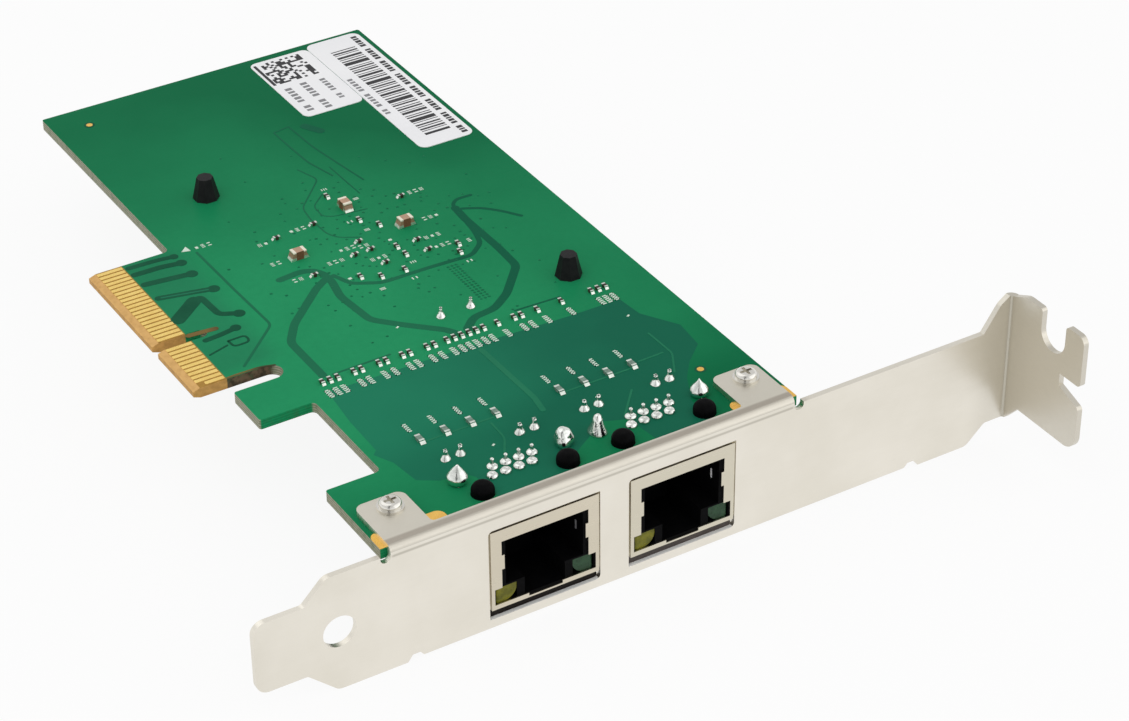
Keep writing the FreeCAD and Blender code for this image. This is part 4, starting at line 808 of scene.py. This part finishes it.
# tented vias: low rims of mask over small holes, on both faces; thickest round the controller
VIA_TRIES, VIA_SPACING, VIA_RIM, VIA_MIDDLE = 1500, 0.9, 0.020, 0.008
rng = random.Random(7)
spots = [(45.1 + 0.65 * column - 0.013 * i, -3.4 - 0.66 * i)
         for column in range(3) for i in range(16)]
for _ in range(VIA_TRIES):
    x, y = rng.uniform(15, 66), rng.uniform(-19, 44)
    density = math.exp(-((x - 41) / 13) ** 2 - ((y - 9) / 14) ** 2)
    if rng.random() < density and all((x - a) ** 2 + (y - b) ** 2 > VIA_SPACING for a, b in spots):
        spots.append((x, y))
bm = bmesh.new()
for x, y in spots:
    r = rng.uniform(0.15, 0.21)
    skin(bm, circles(bm, x, y, ((r * 1.25, SURFACE_Z), (r, SURFACE_Z + VIA_RIM),
                                (r * 0.35, SURFACE_Z + VIA_MIDDLE)), 10))
    skin(bm, circles(bm, x, y, ((r * 0.35, UNDER_Z - VIA_MIDDLE), (r, UNDER_Z - VIA_RIM),
                                (r * 1.25, UNDER_Z)), 10))
keep(finish_mesh("tented_vias", bm, "mask_over_via", True))

# -------- soldered joints
# profiles: radius and height above the board, base first
PIN_JOINT = [(0.80, 0), (0.82, 0.08), (0.76, 0.25), (0.58, 0.42), (0.36, 0.52), (0.26, 0.60),
             (0.22, 0.75), (0.21, 1.14), (0.27, 1.24), (0.27, 1.38), (0.16, 1.50)]
BEAD_JOINT = [(0.80, 0), (0.82, 0.08), (0.79, 0.26), (0.66, 0.46), (0.46, 0.58), (0.25, 0.60),
              (0.12, 0.56)]
LAMP_JOINT = [(0.78, 0), (0.74, 0.12), (0.56, 0.42), (0.36, 0.78), (0.32, 1.02), (0.33, 1.24),
              (0.27, 1.40), (0.14, 1.50)]
CRYSTAL_JOINT = [(0.75, 0), (0.70, 0.15), (0.50, 0.50), (0.33, 0.95), (0.24, 1.30), (0.10, 1.50)]
SHIELD_JOINTS = [
    [(0.86, 0), (1.02, 0.12), (1.16, 0.35), (1.26, 0.65), (1.24, 0.95), (1.08, 1.28),
     (0.84, 1.60), (0.56, 1.95), (0.30, 2.25), (0.12, 2.45)],
    [(0.95, 0), (1.12, 0.20), (1.22, 0.55), (1.16, 0.95), (1.02, 1.30), (0.94, 1.60),
     (0.80, 1.90), (0.56, 2.14), (0.24, 2.30)],
    [(1.25, 0), (1.22, 0.18), (1.06, 0.55), (0.86, 1.05), (0.72, 1.50), (0.60, 1.95),
     (0.38, 2.35), (0.18, 2.50)],
    [(0.80, 0), (1.00, 0.15), (1.14, 0.45), (1.12, 0.80), (0.95, 1.15), (0.68, 1.50),
     (0.40, 1.80), (0.18, 2.10), (0.04, 2.35)]]
# lean along X and Y, then number and depth of lobes, one for each shield joint
SHIELD_LEANS = ((0.10, 0.02), (-0.06, 0.12), (0.04, -0.05), (-0.05, 0.04))
SHIELD_LOBES = ((2, 0.03), (3, 0.12), (2, 0.08), (2, 0.03))
LOBE_TURN, LOBE_FADE = 1.5, 0.6       # how lobes wind and how much they fade towards the tip
LAMP_ROW_Y, BEAD_ROW_Y = -47.0, -50.2
rng = random.Random(11)


def smoothed(profile, steps=3):
    """The profile with points added on a curve through all of its own."""
    points = [Vector(p) for p in profile]
    ends = [points[0] * 2 - points[1]] + points + [points[-1] * 2 - points[-2]]
    curve = []
    for a, b, c, d in zip(ends, ends[1:], ends[2:], ends[3:]):
        for i in range(steps):
            t = i / steps
            curve.append((b * 2 + (c - a) * t + (a * 2 - b * 5 + c * 4 - d) * t ** 2
                          + (b * 3 - a - c * 3 + d) * t ** 3) / 2)
    return curve + [points[-1]]


def joint(bm, x, y, profile, lobes, depth, lean=(0.0, 0.0), sides=24, scale=1.0):
    """A solder joint turned from its profile, with low lobes and a lean towards its tip."""
    phase = rng.uniform(0, 6.28)
    loops = []
    for radius, z in smoothed(profile):
        radius, z = radius * scale, z * scale
        tip = z / profile[-1][1] / scale
        loop = []
        for k in range(sides):
            turn = 2 * math.pi * k / sides
            r = radius * (1 + depth * math.sin(lobes * turn + phase + tip * LOBE_TURN)
                          * (1 - tip * LOBE_FADE))
            loop.append(bm.verts.new((x + r * math.cos(turn) + lean[0] * tip ** 2,
                                      y + r * math.sin(turn) + lean[1] * tip ** 2,
                                      SURFACE_Z + z)))
        loops.append(loop)
    skin(bm, loops)


def in_order(node):
    """The node's solids from left to right, so that each takes its own random draws."""
    return sorted(islands(node), key=lambda found: (round(found[0].x, 2), found[0].y))


def soldered(name, node, bm):
    """Finish the joints in bm in place of a CAD node."""
    piece = finish_mesh(name, bm, "reflowed_solder", True)
    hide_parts(node)
    return keep(piece)


bm = bmesh.new()
for centre, size in in_order("signal_solder_joints"):
    if centre.y > LAMP_ROW_Y:
        profile = LAMP_JOINT
    else:
        profile = PIN_JOINT if centre.y > BEAD_ROW_Y else BEAD_JOINT
    joint(bm, centre.x, centre.y, profile, rng.choice((2, 3)), rng.uniform(0.01, 0.04),
          (rng.uniform(-0.06, 0.06), rng.uniform(-0.06, 0.06)))
soldered("signal_joints", "signal_solder_joints", bm)
bm = bmesh.new()
for centre, size in in_order("crystal_solder_joints"):
    joint(bm, centre.x, centre.y, CRYSTAL_JOINT, 2, 0.04)
soldered("crystal_joints", "crystal_solder_joints", bm)
bm = bmesh.new()
for (centre, size), profile, lean, (lobes, depth) in zip(
        in_order("shield_solder_joints"), SHIELD_JOINTS, SHIELD_LEANS, SHIELD_LOBES):
    joint(bm, centre.x, centre.y, profile, lobes, depth, lean, 32, 1.15)
soldered("shield_joints", "shield_solder_joints", bm)

# -------- spring contacts in the jacks
PIN_PITCH, PIN_ROWS_Y = 1.016, (-51.15, -49.35)
WIRE_W, WIRE_T, WIRE_BEND = 0.46, 0.30, 0.55
WIRE_TOP, WIRE_LEVEL = 0.30, -3.30
WIRE_TONGUE = ((-56.45, WIRE_LEVEL), (-56.50, -3.75), (-50.70, -6.60))
WIRE_SECTION = ((1, 0.55), (0.55, 1), (-0.55, 1), (-1, 0.55), (-1, -0.55), (-0.55, -1),
                (0.55, -1), (1, -0.55))


def wire(bm, x, path):
    """Bent spring wire in a plane of constant X, with broken corners in its section."""
    run = rounded_path(path, WIRE_BEND, 6)
    loops = []
    for i, point in enumerate(run):
        before = point - run[max(i - 1, 0)]
        after = run[min(i + 1, len(run) - 1)] - point
        along = (before.normalized() + after.normalized()).normalized()
        side = Vector((-along.y, along.x))
        loops.append([bm.verts.new((x + u * WIRE_W / 2, *(point + side * v * WIRE_T / 2)))
                      for u, v in WIRE_SECTION])
    skin(bm, loops)


for name, centre in zip(JACKS, JACK_X):
    bm = bmesh.new()
    for i in range(8):
        y = PIN_ROWS_Y[i % 2]
        wire(bm, centre + PIN_PITCH * (i - 3.5), [(y, WIRE_TOP), (y, WIRE_LEVEL), *WIRE_TONGUE])
    piece = finish_mesh(name + "_contact_wires", bm, "hard_gold", True)
    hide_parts(name + "_jack_contacts")
    keep(piece)

# strip on the right wall of each cavity, where a spring finger catches the light; its pale diffuse
# colour is a painted highlight
GLINT_X, GLINT_T, GLINT_Y, GLINT_Z = 5.95, 0.06, (-56.60, -56.28), (-8.90, -7.45)
for name, centre, shine in zip(JACKS, JACK_X, ("label_ink_pale", "label_paper")):
    bm = bmesh.new()
    box(bm, centre + GLINT_X - GLINT_T, centre + GLINT_X, *GLINT_Y, *GLINT_Z)
    keep(finish_mesh(name + "_cavity_glint", bm, shine))

# lower lip of each shell, seen in the gap above the cutout's sill; its near-black tones are
# painted shade for that gap, full on the left jack and half lit on the right
LIP_Y, LIP_T, LIP_LOW = SHIELD_LOW.y + 0.72, 0.20, SHIELD_LOW.z - 0.17
half = (SHIELD_HIGH.x - SHIELD_LOW.x) / 2
for name, centre, shade in zip(JACKS, JACK_X, ("lip_in_shade", "lip_half_lit")):
    bm = bmesh.new()
    box(bm, centre - half, centre + half, LIP_Y, LIP_Y + LIP_T, LIP_LOW, SHELL_FLOOR_Z)
    keep(finish_mesh(name + "_shell_lip", bm, shade))

# -------- labels and their print
SMALL_LOW, SMALL_HIGH = span("small_label")
LONG_LOW, LONG_HIGH = span("long_label")
INK_Z0, INK_Z1 = SMALL_HIGH.z, SMALL_HIGH.z + 0.012


def label_sheet(name, node, x0, x1, y0, y1, corner):
    """A paper sheet with rounded corners."""
    bm = bmesh.new()
    outline = []
    for cx, cy, turn in ((x1 - corner, y1 - corner, 0), (x0 + corner, y1 - corner, 90),
                         (x0 + corner, y0 + corner, 180), (x1 - corner, y0 + corner, 270)):
        for k in range(7):
            a = math.radians(turn + 15 * k)
            outline.append((cx + corner * math.cos(a), cy + corner * math.sin(a)))
    prism(bm, outline, SMALL_LOW.z, SMALL_HIGH.z)
    piece = finish_mesh(name, bm, "label_paper")
    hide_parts(node)
    keep(piece)


label_sheet("small_label_sheet", "small_label", SMALL_LOW.x, LONG_LOW.x - 0.10, SMALL_LOW.y,
            SMALL_HIGH.y, 1.15)
label_sheet("long_label_sheet", "long_label", LONG_LOW.x, LONG_HIGH.x - 0.40, LONG_LOW.y,
            LONG_HIGH.y - 0.15, 1.35)

# squares in random places that encode nothing, with a solid bar down one side
CELL, CELLS, FILLED = 0.50, 15, 0.50
SQUARE = CELL * 0.98
rng = random.Random(5)
matrix_x, matrix_y = SMALL_LOW.x + 0.55, SMALL_HIGH.y - 1.05
bm = bmesh.new()
for i in range(CELLS):
    for j in range(CELLS):
        if rng.random() < FILLED:
            bar(bm, matrix_x + CELL * (i + 1.5), matrix_y - CELL * j, SQUARE, SQUARE, 0, INK_Z0,
                INK_Z1)
bar(bm, matrix_x + CELL * 0.2, matrix_y - CELL * 7, CELL, CELL * CELLS, 0, INK_Z0, INK_Z1)
keep(finish_mesh("label_squares", bm, "label_ink"))


def dashes(bm, x, y0, y1, height, lengths, gap):
    """A broken line of plain blocks along Y, like a line of print seen from afar."""
    y, i = y0, 0
    while y > y1:
        length = lengths[i % len(lengths)]
        if (i + 1) % 6:
            bar(bm, x, y - length / 2, height, length, 0, INK_Z0, INK_Z1)
        y -= length + gap
        i += 1


# x, first and last y, height, lengths in turn, gap
FAINT_LINES = ((55.9, 56.2, 49.2, 0.95, (0.62, 0.50, 0.70), 0.34),
               (52.7, 56.6, 47.8, 1.15, (0.70, 0.62, 0.80, 0.55), 0.40),
               (49.8, 56.2, 47.6, 1.15, (0.75, 0.60, 0.70), 0.40),
               (59.5, 53.6, 40.8, 0.90, (0.62, 0.55, 0.75, 0.50), 0.36))
BOLD_LINES = ((66.85, 66.0, 29.4, 1.00, (0.62, 0.48, 0.74, 0.42, 0.66), 0.24),)
for name, lines, ink in (("label_dashes", FAINT_LINES, "label_ink_pale"),
                         ("label_dashes_bold", BOLD_LINES, "label_ink")):
    bm = bmesh.new()
    for line in lines:
        dashes(bm, *line)
    keep(finish_mesh(name, bm, ink))

# upright bars in a short repeated order that encodes nothing
BARS_X, BARS_Y = (61.15, 65.55), (31.4, 62.9)
BAR_WIDTHS = (0.24, 0.44, 0.18, 0.62, 0.22, 0.34, 0.95, 0.18, 0.40)
BAR_GAPS = (0.42, 0.30, 0.54, 0.34)
bm = bmesh.new()
y, i = BARS_Y[1], 0
while y > BARS_Y[0]:
    width = BAR_WIDTHS[i % len(BAR_WIDTHS)]
    bar(bm, sum(BARS_X) / 2, y - width / 2, BARS_X[1] - BARS_X[0], width, 0, INK_Z0, INK_Z1)
    y -= width + BAR_GAPS[i % len(BAR_GAPS)]
    i += 1
keep(finish_mesh("label_bars", bm, "label_ink"))

# -------- stage, lamps and camera
FLOOR_GAP, FLOOR_GLOW = 0.05, 0.90    # mm under the lowest point; share of its own light
bpy.ops.mesh.primitive_plane_add(size=6, location=(0.045, 0, (cad_low.z / MM - FLOOR_GAP) * MM))
floor = bpy.context.object
floor.name = "floor"

# white where the camera and reflections see it, plain matt for the lamps
material = bpy.data.materials.new("floor_white")
material.use_nodes = True
g = Graph(material.node_tree)
g.tree.nodes.clear()
rays = g.add("LightPath").outputs
direct = g.math("MAXIMUM", g.math("MAXIMUM", rays["Is Camera Ray"], rays["Is Glossy Ray"]),
                rays["Is Transmission Ray"])
matt = g.add("BsdfDiffuse", {"Color": (0.86, 0.86, 0.86)}).outputs[0]
glow = g.add("Emission", {"Strength": 1.0}).outputs[0]
blend = g.add("MixShader", {0: g.math("MULTIPLY", direct, FLOOR_GLOW), 1: matt, 2: glow})
g.add("OutputMaterial", {"Surface": blend.outputs[0]})
floor.data.materials.append(material)

# world: plain diffuse level, white where the camera sees it, a shade less overhead in reflections
WORLD_LEVEL, OVERHEAD, GAP_LEVEL = 0.50, 0.76, 0.10
GAP_AHEAD, GAP_ASIDE = (-0.68, -0.73, 0.0), (-0.73, 0.68, 0.0)
world = bpy.data.worlds.new("studio")
world.use_nodes = True
bpy.context.scene.world = world
g = Graph(world.node_tree)
background = g.tree.nodes["Background"].inputs
g.put(background["Color"], (1.0, 1.0, 1.0))
rays = g.add("LightPath").outputs
ray = g.add("TexCoord").outputs["Generated"]
_, _, rise = g.split(ray)


def along(direction):
    """How far a ray points along a direction."""
    return g.add("VectorMath", {0: ray, 1: direction}, operation="DOT_PRODUCT").outputs["Value"]


overhead = g.ramp(rise, 0.15, 0.50, 1.0, OVERHEAD, "LINEAR")
# the gap between the studio's front panels, a dark upright band that only reflections show
gap = g.ramp(g.math("ABSOLUTE", along(GAP_ASIDE)), 0.07, 0.15, GAP_LEVEL, 1.0, "LINEAR")
gap = g.ramp(along(GAP_AHEAD), 0.10, 0.25, 1.0, gap, "LINEAR")
gap = g.ramp(rise, 0.05, 0.15, 1.0, gap, "LINEAR")
mirrored = g.math("MAXIMUM", rays["Is Glossy Ray"], rays["Is Transmission Ray"])
shaded = g.math("MULTIPLY", overhead, gap)
level = g.ramp(mirrored, 0.0, 1.0, WORLD_LEVEL, shaded, "LINEAR")
g.put(background["Strength"], g.ramp(rays["Is Camera Ray"], 0.0, 1.0, level, 1.0, "LINEAR"))

# disc lamps: place and width in metres, power in watts
LAMPS = (("key", (-0.45, -0.35, 0.75), 1.30, 3.9), ("fill", (0.65, -0.55, 0.40), 1.30, 2.1),
         ("back", (-0.20, 0.50, 0.90), 1.20, 1.6))
middle = (cad_low + cad_high) / 2
for name, place, size, power in LAMPS:
    light = bpy.data.lights.new(name, "AREA")
    light.shape, light.size, light.energy = "DISK", size, power
    lamp = bpy.data.objects.new(name, light)
    bpy.context.scene.collection.objects.link(lamp)
    lamp.location = place
    lamp.rotation_mode = "QUATERNION"
    lamp.rotation_quaternion = (Vector(place) - middle).to_track_quat("Z", "Y")
    lamp.visible_glossy = name != "key"    # metal shows the plain surroundings, not the key lamp

# camera: looks down the card's near corner with a long lens
CAMERA_AZIMUTH, CAMERA_ELEVATION, CAMERA_ROLL = -31.21, 33.98, -0.58
CAMERA_PLACE = Vector((-139.53, -340.39, 242.24)) * MM
azimuth, elevation = math.radians(CAMERA_AZIMUTH), math.radians(CAMERA_ELEVATION)
back = Vector((math.sin(azimuth) * math.cos(elevation), -math.cos(azimuth) * math.cos(elevation),
               math.sin(elevation)))
optics = bpy.data.cameras.new("camera")
optics.lens, optics.sensor_width = 100.0, 36.0
optics.clip_start, optics.clip_end = 0.01, 20.0
camera = bpy.data.objects.new("camera", optics)
bpy.context.scene.collection.objects.link(camera)
camera.location = CAMERA_PLACE
camera.rotation_mode = "QUATERNION"
camera.rotation_quaternion = (back.to_track_quat("Z", "Y")
                              @ Matrix.Rotation(math.radians(CAMERA_ROLL), 4, "Z").to_quaternion())
bpy.context.scene.camera = camera
bpy.context.scene.view_settings.view_transform = "Standard"
